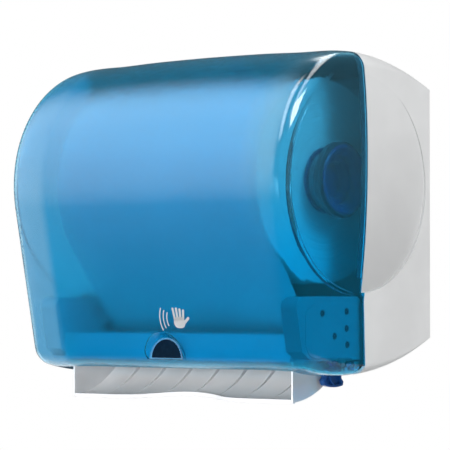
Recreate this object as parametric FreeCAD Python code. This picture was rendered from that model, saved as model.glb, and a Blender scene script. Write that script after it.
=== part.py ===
import FreeCAD, Part
from functools import cache
import math
import os

# Automatic roll towel dispenser for a wall, in millimetres.
# The origin is the centre of the wall fixing holes, on the wall plane.
# X runs to the right as seen from the front, Y runs to the wall, Z is up.

# Case
CASE_WIDTH = 350.0
CASE_CORNER = 16.0
BACK_CORNER_SHARE = 0.15
WALL = 2.8
CROWN = 4.6
NOSE_Y = -105.0
NOSE_Z = 32.0
NOSE_RADIUS = 119.0
FRONT_LEAN = 11.5
TOE_RADIUS = 22.0
BELLY_RADIUS = 249.0
BELLY_Y = -122.0
BELLY_LOW = -151.0
BACK_TOP = 122.5
BACK_SPARE = 2.0
EDGE_RISE = 0.3
SHOULDER_BULGE = 10.0
SEAM_GAP = 0.6
SEAM_TOP = (-107.0, 163.0)
SEAM_BULGE = (-95.5, 32.0)
SEAM_LOW = (-104.0, -82.0)
SEAM_FOOT = (-101.5, -165.0)
DISH_RADIUS = 102.0
DISH_DEPTH = 4.2
DISH_Y = -109.0
DISH_Z = 28.0
DISH_FADE = 86.0
RIM_DEPTH = 6.0
RIM_LOW = -60.0
RIM_THICKNESS = 1.6
RIM_GAP = 0.6

# Wall fixing
FIXING_SPACING_X = 240.0
FIXING_SPACING_Z = 120.0
FIXING_HOLE = 2.75
FIXING_BOSS = 8.0
FIXING_BOSS_HEIGHT = 3.0

# Cover hinge
HINGE_Y = -110.5
HINGE_Z = -142.0
HINGE_PIN = 2.0
KNUCKLE_RADIUS = 4.2
KNUCKLE_X = 158.6
KNUCKLE_WIDTH = 2.8
LUG_SIDE = KNUCKLE_X - 0.8
RUN_CLEARANCE = 0.05
FREE_CLEARANCE = 0.3

# Towel roll and its holders
TOWEL_WIDTH = 254.0
PAPER_RADIUS = 97.0
CORE_BORE = 19.0
CORE_WALL = 2.5
WEB_THICKNESS = 0.5
WEB_RISE = 4.5
SPIGOT_CLEARANCE = 0.1
FLANGE_RADIUS = 31.0
FLANGE_THICKNESS = 2.5
FLANGE_GAP = 1.0
ARM_X = 144.0
ARM_THICKNESS = 5.0
ARM_HEIGHT = 46.0
ARM_RING = 36.0
FOOT_LENGTH = 14.0
FOOT_THICKNESS = 4.0
HUB_BODY = 26.0
HUB_RIM = 33.0
HUB_CUP = 30.0
HUB_TRAVEL = 8.0
SPIGOT_LENGTH = HUB_TRAVEL - 1.0
HUB_SPRING_WIRE = 0.8
HUB_SPRING_TURNS = 4
LEFT_NECK = 20.0
ARM_SCREW = 2.0

# Feed train
DRIVE_Y = -96.0
DRIVE_Z = -126.0
DRIVE_RADIUS = 12.0
DRIVE_SHAFT = 3.0
PINCH_RADIUS = 9.0
PINCH_SHAFT = 2.5
PAPER_GAP = 0.3
SLEEVE_COUNT = 5
SLEEVE_LENGTH = 36.0
ROLLER_HALF = 130.0
GEAR_MODULE = 1.0
PINION_TEETH = 12
IDLER_TEETH = 38
ROLLER_TEETH = 32
GEAR_X = 150.4
GEAR_WIDTH = 5.4
PRESSURE_ANGLE = 20.0
GEAR_BACKLASH = 0.12
WHEEL_SPACE = GEAR_MODULE * (ROLLER_TEETH / 2 + 1) + 0.5
IDLER_DIRECTION = 156.0
MOTOR_DIRECTION = 211.4
IDLER_AXLE = 2.0
MOTOR_RADIUS = 10.0
MOTOR_LENGTH = 44.0
MOTOR_SHAFT = 1.5
BUSH_RADIUS = 6.0
BUSH_FLANGE = 8.0
BUSH_FLANGE_THICKNESS = 1.5

# Feed frame
FRAME_FRONT = -179.0
FRAME_BACK = -62.0
DECK_BACK = -134.0
FRAME_TOP = -112.0
FRAME_BOTTOM = -137.5
FRAME_WALL = 2.5
FRAME_SEAT = FRAME_BOTTOM + FRAME_WALL
FOOT_HALF_X = 12.0
FOOT_HALF_Y = 8.0
PLATE_THICKNESS = 3.0
LEFT_PLATE_X = -137.0
RIGHT_PLATE_X = 145.0
EAR_TOP = -98.0
TIE_TOP = -119.0
TIE_THICKNESS = 4.0
FRAME_SCREW = 1.6
FRAME_SCREW_X = 80.0
FRAME_SCREW_Y = FRAME_BACK + 4.0

# Pinch carrier and its release lever
CARRIER_Y = -121.0
CARRIER_Z = -106.0
CARRIER_PIN = 2.0
CARRIER_ARM = 3.0
CARRIER_ARM_RADIUS = 5.0
LEVER_Y = -97.0
LEVER_Z = -146.0
LEVER_X = 134.0
LEVER_THICKNESS = 5.0
LEVER_PIN = 2.0
LINK_Y = -110.0
LINK_Z = -134.0
LINK_PIN = 1.5

# Gear box and control box
BOX_TOP = -77.5
BOX_FOOT = -174.0
BOX_CHIN = (-184.5, -128.0)
BOX_BROW = (-192.0, -91.0)
BOX_TOP_FRONT = -182.0
BOX_BACK = -104.0
GEARBOX_OUTER = 163.5
GEARBOX_BACK = -75.0
GEARBOX_DROP = 26.0
BOX_WALL = 1.5
BOX_COVER = 2.5
CASE_WALL = 2.0
PANEL_HEIGHT = 0.6
PANEL_Y = (-180.0, -106.0)
PANEL_Z = (-134.0, -83.5)
PANEL_CORNER = 15.0
SCREW_HEAD = 3.2
SCREW_HEAD_HEIGHT = 2.0
SCREW_SINK = 1.0
MOTOR_NOSE = 4.0
CONTROL_OUTER = -157.5
SELECTOR_X = -147.0
SELECTOR_Y = -140.0
SELECTOR_STEM = (2.2, 3.5)
SELECTOR_TRAVEL = 6.0
BOARD_THICKNESS = 1.6
BOARD_STANDOFF = 3.0
BOARD_X = LEFT_PLATE_X - CASE_WALL - BOARD_STANDOFF - BOARD_THICKNESS

# Chute
CHUTE_LEFT = -152.0
CHUTE_RIGHT = 130.0
CHUTE_WALL = 2.0
CHUTE_CORNER = 4.0
CHUTE_LIP = (-153.0, -174.0)
CHUTE_MIDDLE = (-116.0, -163.5)
CHUTE_TOP = (-88.0, -142.0)
SCALLOP_X = -14.0
SCALLOP_HALF = 88.0
SCALLOP_DEPTH = 20.0
BEAD_WIDTH = 2.4
BEAD_PROUD = 0.9
RIB_COUNT = 7
RIB_WIDTH = 2.4
RIB_HEIGHT = 5.0
TEAR_TEETH = 80
TEAR_BAR_Y = -160.0
TEAR_BAR_THICKNESS = 0.8
TEAR_BAR_HEIGHT = 7.0
TOOTH_HEIGHT = 2.0
NOTCH_LEFT = CHUTE_LEFT - 2.0
NOTCH_RIGHT = LEVER_X + LEVER_THICKNESS + 7.0
NOTCH_FRONT = -174.0
NOTCH_BACK = -78.0
NOTCH_HIGH = -136.0

# Sensor recess in the cover
SENSOR_X = 4.0
SENSOR_Z = -138.5
RECESS_RADIUS = 28.0
RECESS_BACK_RADIUS = 22.0
RECESS_FRONT = -198.0
RECESS_BACK = -188.5
RECESS_WALL = 2.2
LEDGE_Z = -137.0
WINDOW_RADIUS = 18.5
WINDOW_RISE = 0.84
WINDOW_Z = -135.5
WINDOW_THICKNESS = 1.8

# Cover lock
LOCK_X = -1.0
LOCK_Y = -85.0
KEY_RADIUS = 6.0
BOLT_Y = -98.0
BOLT_Z = 142.0
BOLT_RADIUS = 3.0
CAM_OFFSET = 4.0
CAM_PIN = 1.5
LOCK_TOP = 148.0
LOCK_LEFT = LOCK_X - 23.0
LOCK_BACK = LOCK_Y + 13.0
LOCK_DEPTH = 16.5
LOCK_WALL = 3.0
LOCK_CHEEK = 4.0
CAM_LOW = LOCK_TOP - 14.5
CAM_PLATE = 2.5
CATCH_X = 24.0
CATCH_THICKNESS = 3.0

# Battery compartment
CELL_RADIUS = 16.5
CELL_LENGTH = 61.0
CELL_NUB = 1.5
CELL_COUNT = 4
CELL_Z = -96.0
CELL_CLEARANCE = 0.3
DOOR_THICKNESS = 2.2
DOOR_PIN = 1.5
CONTACT_THICKNESS = 0.6
CONTACT_SPRING_LENGTH = 5.0
CONTACT_WIRE = 0.5
CONTACT_COIL = 6.0
CONTACT_TURNS = 4
CONTACT_HALF = 10.0
CELL_NUB_RADIUS = 5.0
EAR_HALF = 2.5
CELL_Y = -WALL - CASE_WALL - CELL_CLEARANCE - CELL_RADIUS
BAY_FRONT = CELL_Y - CELL_RADIUS - CELL_CLEARANCE
BAY_HALF = CELL_COUNT * CELL_LENGTH / 2 + CONTACT_SPRING_LENGTH
BAY_LOW = CELL_Z - CELL_RADIUS - CELL_CLEARANCE
BAY_HIGH = CELL_Z + CELL_RADIUS + CELL_CLEARANCE
DOOR_PIN_Y = BAY_FRONT - FREE_CLEARANCE - DOOR_PIN
DOOR_PIN_Z = BAY_LOW - CASE_WALL + DOOR_PIN

HALF_WIDTH = CASE_WIDTH / 2
PINCH_Y = DRIVE_Y - DRIVE_RADIUS - PAPER_GAP - PINCH_RADIUS
PINCH_Z = DRIVE_Z
TOWEL_HALF = TOWEL_WIDTH / 2
SPIGOT_RADIUS = CORE_BORE - SPIGOT_CLEARANCE
FAR = 400.0


# Basic shapes
def vector(x, y, z):
    return FreeCAD.Vector(x, y, z)


def block(x0, x1, y0, y1, z0, z1):
    return Part.makeBox(x1 - x0, y1 - y0, z1 - z0, vector(x0, y0, z0))


def rod(x0, x1, y, z, radius):
    return Part.makeCylinder(radius, x1 - x0, vector(x0, y, z), vector(1, 0, 0))


def tube(x0, x1, y, z, outer, inner):
    return rod(x0, x1, y, z, outer).cut(rod(x0, x1, y, z, inner))


def stud(x, z, y0, y1, radius):
    return Part.makeCylinder(radius, y1 - y0, vector(x, y0, z), vector(0, 1, 0))


def post(x, y, z0, z1, radius):
    return Part.makeCylinder(radius, z1 - z0, vector(x, y, z0), vector(0, 0, 1))


def outline(place, start, legs):
    """Close a face from a start point by legs, each (end,) for a line or (middle, end) for an arc."""
    edges = []
    here = start
    for leg in legs + [(start,)]:
        end = leg[-1]
        if end == here:
            continue
        if len(leg) == 1:
            edges.append(Part.makeLine(place(*here), place(*end)))
        else:
            edges.append(Part.Arc(place(*here), place(*leg[0]), place(*end)).toShape())
        here = end
    return Part.Face(Part.Wire(edges))


def side_plate(x0, x1, start, *legs):
    """Extrude an outline of (Y, Z) points along X."""
    face = outline(lambda y, z: vector(x0, y, z), start, list(legs))
    return face.extrude(vector(x1 - x0, 0, 0))


def front_plate(y0, y1, start, *legs):
    """Extrude an outline of (X, Z) points along Y."""
    face = outline(lambda x, z: vector(x, y0, z), start, list(legs))
    return face.extrude(vector(0, y1 - y0, 0))


def plan_plate(z0, z1, start, *legs):
    """Extrude an outline of (X, Y) points along Z."""
    face = outline(lambda x, y: vector(x, y, z0), start, list(legs))
    return face.extrude(vector(0, 0, z1 - z0))


def turned(y, z, start, *legs):
    """Turn an outline of (X, radius) points about a line along X."""
    face = outline(lambda x, radius: vector(x, y, z + radius), start, list(legs))
    return face.revolve(vector(0, y, z), vector(1, 0, 0), 360)


def mirrored(shape):
    return shape.mirror(vector(0, 0, 0), vector(1, 0, 0))


def join(first, *others):
    return first.fuse(list(others)).removeSplitter()


def group(*shapes):
    return Part.makeCompound(list(shapes))


def polar(centre, radius, degrees):
    angle = math.radians(degrees)
    return (centre[0] + radius * math.cos(angle), centre[1] + radius * math.sin(angle))


def coil(x0, y, z, radius, wire, pitch, turns):
    """Wind a round wire about a line along X, in quarter turns."""
    quarters = turns * 4

    def on_helix(quarter):
        angle = math.pi / 2 * quarter
        return vector(x0 + pitch * quarter / 4, y + radius * math.cos(angle), z + radius * math.sin(angle))

    path = Part.Wire([
        Part.Arc(on_helix(i), on_helix(i + 0.5), on_helix(i + 1)).toShape() for i in range(quarters)
    ])
    circle = Part.makeCircle(wire, on_helix(0), vector(pitch / (2 * math.pi), 0, radius))
    return path.makePipeShell([Part.Wire([circle])], True, False)


# The case as a closed body, shrunk all round to make its inner surfaces
def toe_centre():
    """Centre of the lower front corner, which touches the front line and the belly arc."""
    normal = (-math.cos(math.radians(FRONT_LEAN)), -math.sin(math.radians(FRONT_LEAN)))
    down = (-normal[1], normal[0])
    belly = (BELLY_Y, BELLY_LOW + BELLY_RADIUS)
    reach = BELLY_RADIUS - TOE_RADIUS
    start = (NOSE_Y + (NOSE_RADIUS - TOE_RADIUS) * normal[0] - belly[0],
             NOSE_Z + (NOSE_RADIUS - TOE_RADIUS) * normal[1] - belly[1])
    along = start[0] * down[0] + start[1] * down[1]
    square = start[0] ** 2 + start[1] ** 2 - reach ** 2
    travel = -along + math.sqrt(along ** 2 - square)
    return (belly[0] + start[0] + travel * down[0], belly[1] + start[1] + travel * down[1])


def case_section(x, shrink, corner):
    """One closed outline of the case at X, drawn in by shrink and, towards its front, by corner."""
    rise = CROWN * (1 - (x / HALF_WIDTH) ** 2) + EDGE_RISE
    inset = shrink + corner
    back_inset = shrink + corner * BACK_CORNER_SHARE
    nose = (NOSE_Y, NOSE_Z)
    nose_high = (NOSE_Y, NOSE_Z + rise)
    radius = NOSE_RADIUS - inset
    toe = toe_centre()
    toe_radius = TOE_RADIUS - inset
    belly = (BELLY_Y, BELLY_LOW + BELLY_RADIUS)
    lean = 180 + FRONT_LEAN
    belly_angle = math.degrees(math.atan2(toe[1] - belly[1], toe[0] - belly[0])) + 360
    top = polar(nose_high, radius, 90)
    back_top = (BACK_SPARE, BACK_TOP - back_inset + rise)
    middle = ((top[0] + back_top[0]) / 2, (top[1] + back_top[1]) / 2 + SHOULDER_BULGE * 0.69)
    toe_end = polar(toe, toe_radius, belly_angle)
    belly_end = (BACK_SPARE, belly_low(BELLY_RADIUS - back_inset, BACK_SPARE))
    belly_y = (toe_end[0] + BACK_SPARE) / 2
    belly_middle = (belly_y, belly_low(BELLY_RADIUS - (inset + back_inset) / 2, belly_y))

    def place(point):
        return vector(x, point[0], point[1])

    def line(a, b):
        return Part.makeLine(place(a), place(b))

    def arc(a, b, c):
        return Part.Arc(place(a), place(b), place(c)).toShape()

    brow = polar(nose_high, radius, 180)
    bridge = polar(nose, radius, 180)
    nose_end = polar(nose, radius, lean)
    toe_start = polar(toe, toe_radius, lean)
    return Part.Wire([
        line(belly_end, back_top),
        arc(back_top, middle, top),
        arc(top, polar(nose_high, radius, 135), brow),
        line(brow, bridge),
        arc(bridge, polar(nose, radius, 180 + FRONT_LEAN / 2), nose_end),
        line(nose_end, toe_start),
        arc(toe_start, polar(toe, toe_radius, (lean + belly_angle) / 2), toe_end),
        arc(toe_end, belly_middle, belly_end),
    ])


def belly_low(radius, y):
    """Height of the underside at a given Y, for a belly arc of this radius."""
    return BELLY_LOW + BELLY_RADIUS - math.sqrt(radius ** 2 - (y - BELLY_Y) ** 2)


@cache
def case_body(shrink):
    """The case shape drawn in by shrink, with its dished sides and a flat wall side."""
    corner = CASE_CORNER - shrink
    flat = HALF_WIDTH - CASE_CORNER
    corner_angles = (90, 68, 46, 24, 0)
    stations = [(flat + corner * math.sin(math.radians(a)), corner * (1 - math.cos(math.radians(a))))
                for a in corner_angles]
    inner = [(flat * share, 0.0) for share in (0.75, 0.5, 0.25)]
    right = stations + inner
    left = [(-x, inset) for x, inset in reversed(right)]
    sections = [case_section(x, shrink, inset) for x, inset in right + [(0.0, 0.0)] + left]
    body = Part.makeLoft(sections, True, False)
    body = body.common(block(-FAR, FAR, -FAR, -shrink, -FAR, FAR))
    dish = dish_cutter(shrink)
    return body.cut(dish).cut(mirrored(dish))


def dish_cutter(shrink):
    """A round wedge that hollows the side wall, from nothing near its top to its depth at its foot."""
    face_x = HALF_WIDTH - shrink
    radius = DISH_RADIUS + shrink
    disc = rod(face_x - 2 * DISH_DEPTH, face_x + DISH_DEPTH, DISH_Y, DISH_Z, radius)
    wedge = front_plate(
        DISH_Y - 2 * radius, DISH_Y + 2 * radius,
        (face_x - DISH_DEPTH, DISH_Z - radius),
        ((face_x + DISH_DEPTH, DISH_Z - radius),),
        ((face_x + DISH_DEPTH, DISH_Z + DISH_FADE),),
        ((face_x, DISH_Z + DISH_FADE),),
    )
    return disc.common(wedge)


def ahead_of_seam(shift):
    """Everything in front of the seam between cover and housing, moved back by shift."""
    def place(point):
        return (point[0] + shift, point[1])
    return side_plate(
        -FAR, FAR,
        place(SEAM_TOP),
        (place(SEAM_BULGE), place(SEAM_LOW)),
        (place(SEAM_FOOT),),
        ((-FAR, SEAM_FOOT[1]),),
        ((-FAR, SEAM_TOP[1]),),
    )


# Case pieces
def chute_notch():
    return block(NOTCH_LEFT, NOTCH_RIGHT, NOTCH_FRONT, NOTCH_BACK, -FAR, NOTCH_HIGH)


def housing_lug():
    back = HINGE_Y + 15.0
    lug = side_plate(
        KNUCKLE_X, KNUCKLE_X + KNUCKLE_WIDTH,
        (HINGE_Y, HINGE_Z + KNUCKLE_RADIUS),
        ((HINGE_Y - KNUCKLE_RADIUS, HINGE_Z), (HINGE_Y, HINGE_Z - KNUCKLE_RADIUS)),
        ((HINGE_Y + 8.0, HINGE_Z - KNUCKLE_RADIUS - 1.0),),
        ((back, HINGE_Z - KNUCKLE_RADIUS - 2.5),),
        ((back, HINGE_Z + KNUCKLE_RADIUS),),
    )
    return lug.cut(rod(KNUCKLE_X, KNUCKLE_X + KNUCKLE_WIDTH, HINGE_Y, HINGE_Z, HINGE_PIN))


def cover_lug():
    x0 = KNUCKLE_X + KNUCKLE_WIDTH + FREE_CLEARANCE
    x1 = x0 + KNUCKLE_WIDTH
    foot = HINGE_Z - 6.4
    lug = side_plate(
        x0, x1,
        (HINGE_Y, HINGE_Z + KNUCKLE_RADIUS),
        ((HINGE_Y + KNUCKLE_RADIUS, HINGE_Z), (HINGE_Y, HINGE_Z - KNUCKLE_RADIUS)),
        ((HINGE_Y, foot),),
        ((HINGE_Y - 12.0, foot),),
    )
    return lug.cut(rod(x0 - 1, x1 + 1, HINGE_Y, HINGE_Z, HINGE_PIN + RUN_CLEARANCE))


def rear_housing(shell):
    housing = shell.cut(ahead_of_seam(SEAM_GAP / 2))
    outer_rim = WALL + RIM_GAP
    inner_rim = outer_rim + RIM_THICKNESS
    rim_void = case_body(inner_rim)
    lip = case_body(outer_rim).cut(rim_void)
    root = case_body(WALL - 0.4).cut(rim_void)
    lip = lip.cut(ahead_of_seam(-RIM_DEPTH)).common(ahead_of_seam(SEAM_GAP + 0.4))
    root = root.cut(ahead_of_seam(SEAM_GAP / 2)).common(ahead_of_seam(SEAM_GAP / 2 + 3.0))
    keep = block(-FAR, FAR, -FAR, 0, RIM_LOW, FAR)
    lip = lip.common(keep)
    root = root.common(keep)
    lip = lip.cut(block(CATCH_X - 8.0, CATCH_X + CATCH_THICKNESS + 8.0, -FAR, 0, 100.0, FAR))
    housing = join(housing, root, lip)
    for x in (-FIXING_SPACING_X / 2, FIXING_SPACING_X / 2):
        for z in (-FIXING_SPACING_Z / 2, FIXING_SPACING_Z / 2):
            boss = stud(x, z, -WALL - FIXING_BOSS_HEIGHT, -WALL / 2, FIXING_BOSS)
            housing = housing.fuse(boss)
            housing = housing.cut(stud(x, z, -WALL - 2 * FIXING_BOSS_HEIGHT, 1.0, FIXING_HOLE))
    for x, z in arm_screw_places():
        for side in (-1, 1):
            housing = housing.cut(stud(side * x, z, -WALL - 1.0, -WALL / 2, ARM_SCREW))
    housing = housing.cut(chute_notch())
    lock_pad = block(LOCK_LEFT + 2.0, CATCH_X - 4.0, BOLT_Y, LOCK_BACK, LOCK_TOP, LOCK_TOP + 10.0)
    lock_pad = lock_pad.common(case_body(WALL / 2))
    housing = join(housing, lock_pad)
    housing = housing.cut(post(LOCK_X, LOCK_Y, LOCK_TOP - 1.0, FAR, KEY_RADIUS + RUN_CLEARANCE))
    for x in (-FRAME_SCREW_X, FRAME_SCREW_X):
        pad = block(x - FOOT_HALF_X, x + FOOT_HALF_X, FRAME_BACK - FOOT_HALF_Y, FRAME_BACK + FOOT_HALF_Y,
                    BELLY_LOW, FRAME_SEAT)
        housing = housing.fuse(pad.common(case_body(WALL / 2)))
        housing = housing.cut(post(x, FRAME_SCREW_Y, FRAME_SEAT - FRAME_WALL, FRAME_SEAT, FRAME_SCREW))
    lug = housing_lug()
    return join(housing, lug, mirrored(lug))


def sensor_recess(grow, floor):
    depth = RECESS_BACK - RECESS_FRONT
    cone = Part.makeCone(RECESS_RADIUS + grow, RECESS_BACK_RADIUS + grow, depth + grow,
                         vector(SENSOR_X, RECESS_FRONT, SENSOR_Z), vector(0, 1, 0))
    mouth = stud(SENSOR_X, SENSOR_Z, RECESS_FRONT - 30.0, RECESS_FRONT, RECESS_RADIUS + grow)
    return cone.fuse(mouth).common(block(-FAR, FAR, -FAR, 0, floor, 0))


def window_outline(y0, y1, radius, base):
    rise = radius * WINDOW_RISE
    return front_plate(
        y0, y1,
        (SENSOR_X - radius, base),
        ((SENSOR_X - radius, base + 2.0),),
        ((SENSOR_X, base + rise + 2.0), (SENSOR_X + radius, base + 2.0)),
        ((SENSOR_X + radius, base),),
    )


def front_cover(shell):
    cover = shell.common(ahead_of_seam(-SEAM_GAP / 2))
    pod = sensor_recess(RECESS_WALL, LEDGE_Z - RECESS_WALL).common(case_body(WALL / 2))
    cover = join(cover, pod).cut(sensor_recess(0.0, LEDGE_Z))
    cover = cover.cut(window_outline(RECESS_FRONT, RECESS_BACK + 8.0, WINDOW_RADIUS, WINDOW_Z))
    cover = cover.cut(chute_notch())
    cover = cover.cut(block(-FAR, FAR, HINGE_Y, HINGE_Y + 20.0, HINGE_Z - 20.0, HINGE_Z))
    cover = cover.cut(block(-LUG_SIDE, LUG_SIDE, HINGE_Y - 18.0, 0.0, HINGE_Z - 20.0, HINGE_Z + 6.0))
    slot = block(LUG_SIDE - 0.1, KNUCKLE_X + KNUCKLE_WIDTH + 0.2,
                 HINGE_Y - 10.0, HINGE_Y + 20.0, HINGE_Z - 20.0, HINGE_Z + 6.0)
    cover = cover.cut(slot).cut(mirrored(slot))
    lug = cover_lug().common(case_body(WALL / 2))
    catch = block(CATCH_X, CATCH_X + CATCH_THICKNESS, BOLT_Y - 20.0, BOLT_Y + 5.0, BOLT_Z - 6.0, 160.0)
    catch = catch.common(case_body(WALL / 2))
    catch = catch.cut(block(0.0, 60.0, BOLT_Y - 9.5, 0.0, LOCK_TOP + 1.0, FAR))
    catch = catch.cut(rod(CATCH_X - 1, CATCH_X + CATCH_THICKNESS + 1, BOLT_Y, BOLT_Z, BOLT_RADIUS + 0.3))
    return join(cover, lug, mirrored(lug), catch)


def hinge_pins():
    x1 = KNUCKLE_X + 2 * KNUCKLE_WIDTH + FREE_CLEARANCE
    pin = rod(KNUCKLE_X, x1, HINGE_Y, HINGE_Z, HINGE_PIN)
    return group(pin, mirrored(pin))


def sensor_window():
    edge_gap = 0.1
    base = WINDOW_Z + edge_gap / 2
    return window_outline(RECESS_BACK, RECESS_BACK + WINDOW_THICKNESS, WINDOW_RADIUS - edge_gap, base)


# Lock at the top of the case
def lock_body():
    x0 = LOCK_LEFT
    x1 = CATCH_X - 4.0
    front = BOLT_Y - BOLT_RADIUS - 2.0
    low = LOCK_TOP - LOCK_DEPTH
    body = block(x0, x1, front, LOCK_BACK, low, LOCK_TOP)
    body = body.cut(block(x0 + LOCK_CHEEK, x1 - LOCK_CHEEK, front + 1.5, LOCK_BACK - 2.0,
                          low - 1.0, LOCK_TOP - LOCK_WALL))
    body = body.cut(rod(x0 - 1, x1 + 1, BOLT_Y, BOLT_Z, BOLT_RADIUS + RUN_CLEARANCE))
    return body.cut(post(LOCK_X, LOCK_Y, LOCK_TOP - 10.0, LOCK_TOP + 1.0, KEY_RADIUS + RUN_CLEARANCE))


def lock_bolt():
    pin_x = LOCK_X - CAM_OFFSET
    slot_half = CAM_PIN + FREE_CLEARANCE
    bolt = rod(LOCK_LEFT - 6.0, CATCH_X - 1.0, BOLT_Y, BOLT_Z, BOLT_RADIUS)
    web = block(pin_x - 7.0, pin_x - 2.0, BOLT_Y - BOLT_RADIUS, BOLT_Y + BOLT_RADIUS, CAM_LOW, BOLT_Z)
    plate = block(pin_x - 7.0, pin_x + 5.0, BOLT_Y, LOCK_Y + 2.0, CAM_LOW, CAM_LOW + CAM_PLATE)
    slot = block(pin_x - slot_half, pin_x + slot_half, LOCK_Y - 2 * CAM_OFFSET, LOCK_Y + 3.0,
                 CAM_LOW - 1.0, CAM_LOW + CAM_PLATE + 1.0)
    return join(bolt, web, plate.cut(slot))


def key_barrel():
    top = LOCK_TOP + 6.0
    flange_low = CAM_LOW + CAM_PLATE + 1.0
    flange_high = flange_low + 4.0
    barrel = post(LOCK_X, LOCK_Y, flange_high - 0.5, top, KEY_RADIUS)
    flange = post(LOCK_X, LOCK_Y, flange_low, flange_high, KEY_RADIUS + 2.0)
    pin = post(LOCK_X - CAM_OFFSET, LOCK_Y - CAM_OFFSET, CAM_LOW, flange_low + 0.5, CAM_PIN)
    slot = block(LOCK_X - 4.0, LOCK_X + 4.0, LOCK_Y - 0.8, LOCK_Y + 0.8, top - 4.0, top + 1.0)
    return join(barrel, flange, pin).cut(slot)


# Roll holders
def arm(bore):
    half = ARM_HEIGHT / 2
    bar = block(ARM_X, ARM_X + ARM_THICKNESS, NOSE_Y, -WALL, NOSE_Z - half, NOSE_Z + half)
    ring = rod(ARM_X, ARM_X + ARM_THICKNESS, NOSE_Y, NOSE_Z, ARM_RING)
    foot = block(ARM_X, ARM_X + ARM_THICKNESS + FOOT_LENGTH, -WALL - FOOT_THICKNESS, -WALL,
                 NOSE_Z - half, NOSE_Z + half)
    whole = join(bar, ring, foot).cut(rod(ARM_X - 1, ARM_X + ARM_THICKNESS + 1, NOSE_Y, NOSE_Z, bore))
    for x, z in arm_screw_places():
        whole = whole.cut(stud(x, z, -WALL - FOOT_THICKNESS - 1, -WALL, ARM_SCREW))
    return whole


def arm_screw_places():
    x = ARM_X + ARM_THICKNESS + FOOT_LENGTH / 2
    offset = ARM_HEIGHT / 4
    return [(x, NOSE_Z - offset), (x, NOSE_Z + offset)]


def arm_screws():
    screws = []
    for x, z in arm_screw_places():
        head_y = -WALL - FOOT_THICKNESS
        for side in (-1, 1):
            shank = stud(side * x, z, head_y, -WALL / 2, ARM_SCREW)
            head = stud(side * x, z, head_y - SCREW_HEAD_HEIGHT, head_y, SCREW_HEAD)
            screws.append(join(shank, head))
    return group(*screws)


def left_hub():
    end = -TOWEL_HALF - FLANGE_GAP
    return turned(
        NOSE_Y, NOSE_Z,
        (-TOWEL_HALF + SPIGOT_LENGTH, 0.0),
        ((-TOWEL_HALF + SPIGOT_LENGTH, SPIGOT_RADIUS - 2.0),),
        ((-TOWEL_HALF + SPIGOT_LENGTH - 2.0, SPIGOT_RADIUS),),
        ((end, SPIGOT_RADIUS),),
        ((end, FLANGE_RADIUS),),
        ((end - FLANGE_THICKNESS, FLANGE_RADIUS),),
        ((end - FLANGE_THICKNESS, LEFT_NECK + 3.0),),
        ((-ARM_X, LEFT_NECK + 3.0),),
        ((-ARM_X, LEFT_NECK),),
        ((-ARM_X - ARM_THICKNESS - 1.5, LEFT_NECK),),
        ((-ARM_X - ARM_THICKNESS - 1.5, 0.0),),
    )


def right_hub():
    """A cup open to the right with stepped rings inside, on a spigot that enters the core."""
    tip = TOWEL_HALF - SPIGOT_LENGTH
    shoulder = TOWEL_HALF + FLANGE_GAP
    body = shoulder + FLANGE_THICKNESS
    rim = ARM_X + ARM_THICKNESS + 0.8
    mouth = rim + 3.4
    return turned(
        NOSE_Y, NOSE_Z,
        (tip, 0.0),
        ((tip, SPIGOT_RADIUS - 2.0),),
        ((tip + 2.0, SPIGOT_RADIUS),),
        ((shoulder, SPIGOT_RADIUS),),
        ((shoulder, FLANGE_RADIUS),),
        ((body, FLANGE_RADIUS),),
        ((body, HUB_BODY),),
        ((rim, HUB_BODY),),
        ((rim + 1.0, HUB_RIM - 0.6),),
        ((rim + 1.9, HUB_RIM),),
        ((mouth - 0.7, HUB_RIM),),
        ((mouth, HUB_RIM - 0.8),),
        ((mouth, HUB_CUP),),
        ((rim - 2.0, HUB_BODY - 2.5),),
        ((rim - 8.0, HUB_BODY - 3.5),),
        ((rim - 8.0, HUB_BODY - 8.0),),
        ((body + 2.0, HUB_BODY - 9.5),),
        ((body + 2.0, 0.0),),
    )


def hub_spring():
    start = TOWEL_HALF + FLANGE_GAP + FLANGE_THICKNESS + HUB_SPRING_WIRE + 0.1
    end = ARM_X - HUB_SPRING_WIRE - 0.1
    pitch = (end - start) / HUB_SPRING_TURNS
    return coil(start, NOSE_Y, NOSE_Z, HUB_BODY + HUB_SPRING_WIRE + 1.0, HUB_SPRING_WIRE,
                pitch, HUB_SPRING_TURNS)


def roll_core():
    return tube(-TOWEL_HALF, TOWEL_HALF, NOSE_Y, NOSE_Z, CORE_BORE + CORE_WALL, CORE_BORE)


def towel_roll():
    return tube(-TOWEL_HALF, TOWEL_HALF, NOSE_Y, NOSE_Z, PAPER_RADIUS, CORE_BORE + CORE_WALL)


def nip_place(rise):
    """Middle of the gap between the two rollers, at a height above the line through their axes."""
    drive_side = DRIVE_Y - math.sqrt(DRIVE_RADIUS ** 2 - rise ** 2)
    pinch_side = PINCH_Y + math.sqrt(PINCH_RADIUS ** 2 - rise ** 2)
    return ((drive_side + pinch_side) / 2, DRIVE_Z + rise)


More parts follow.
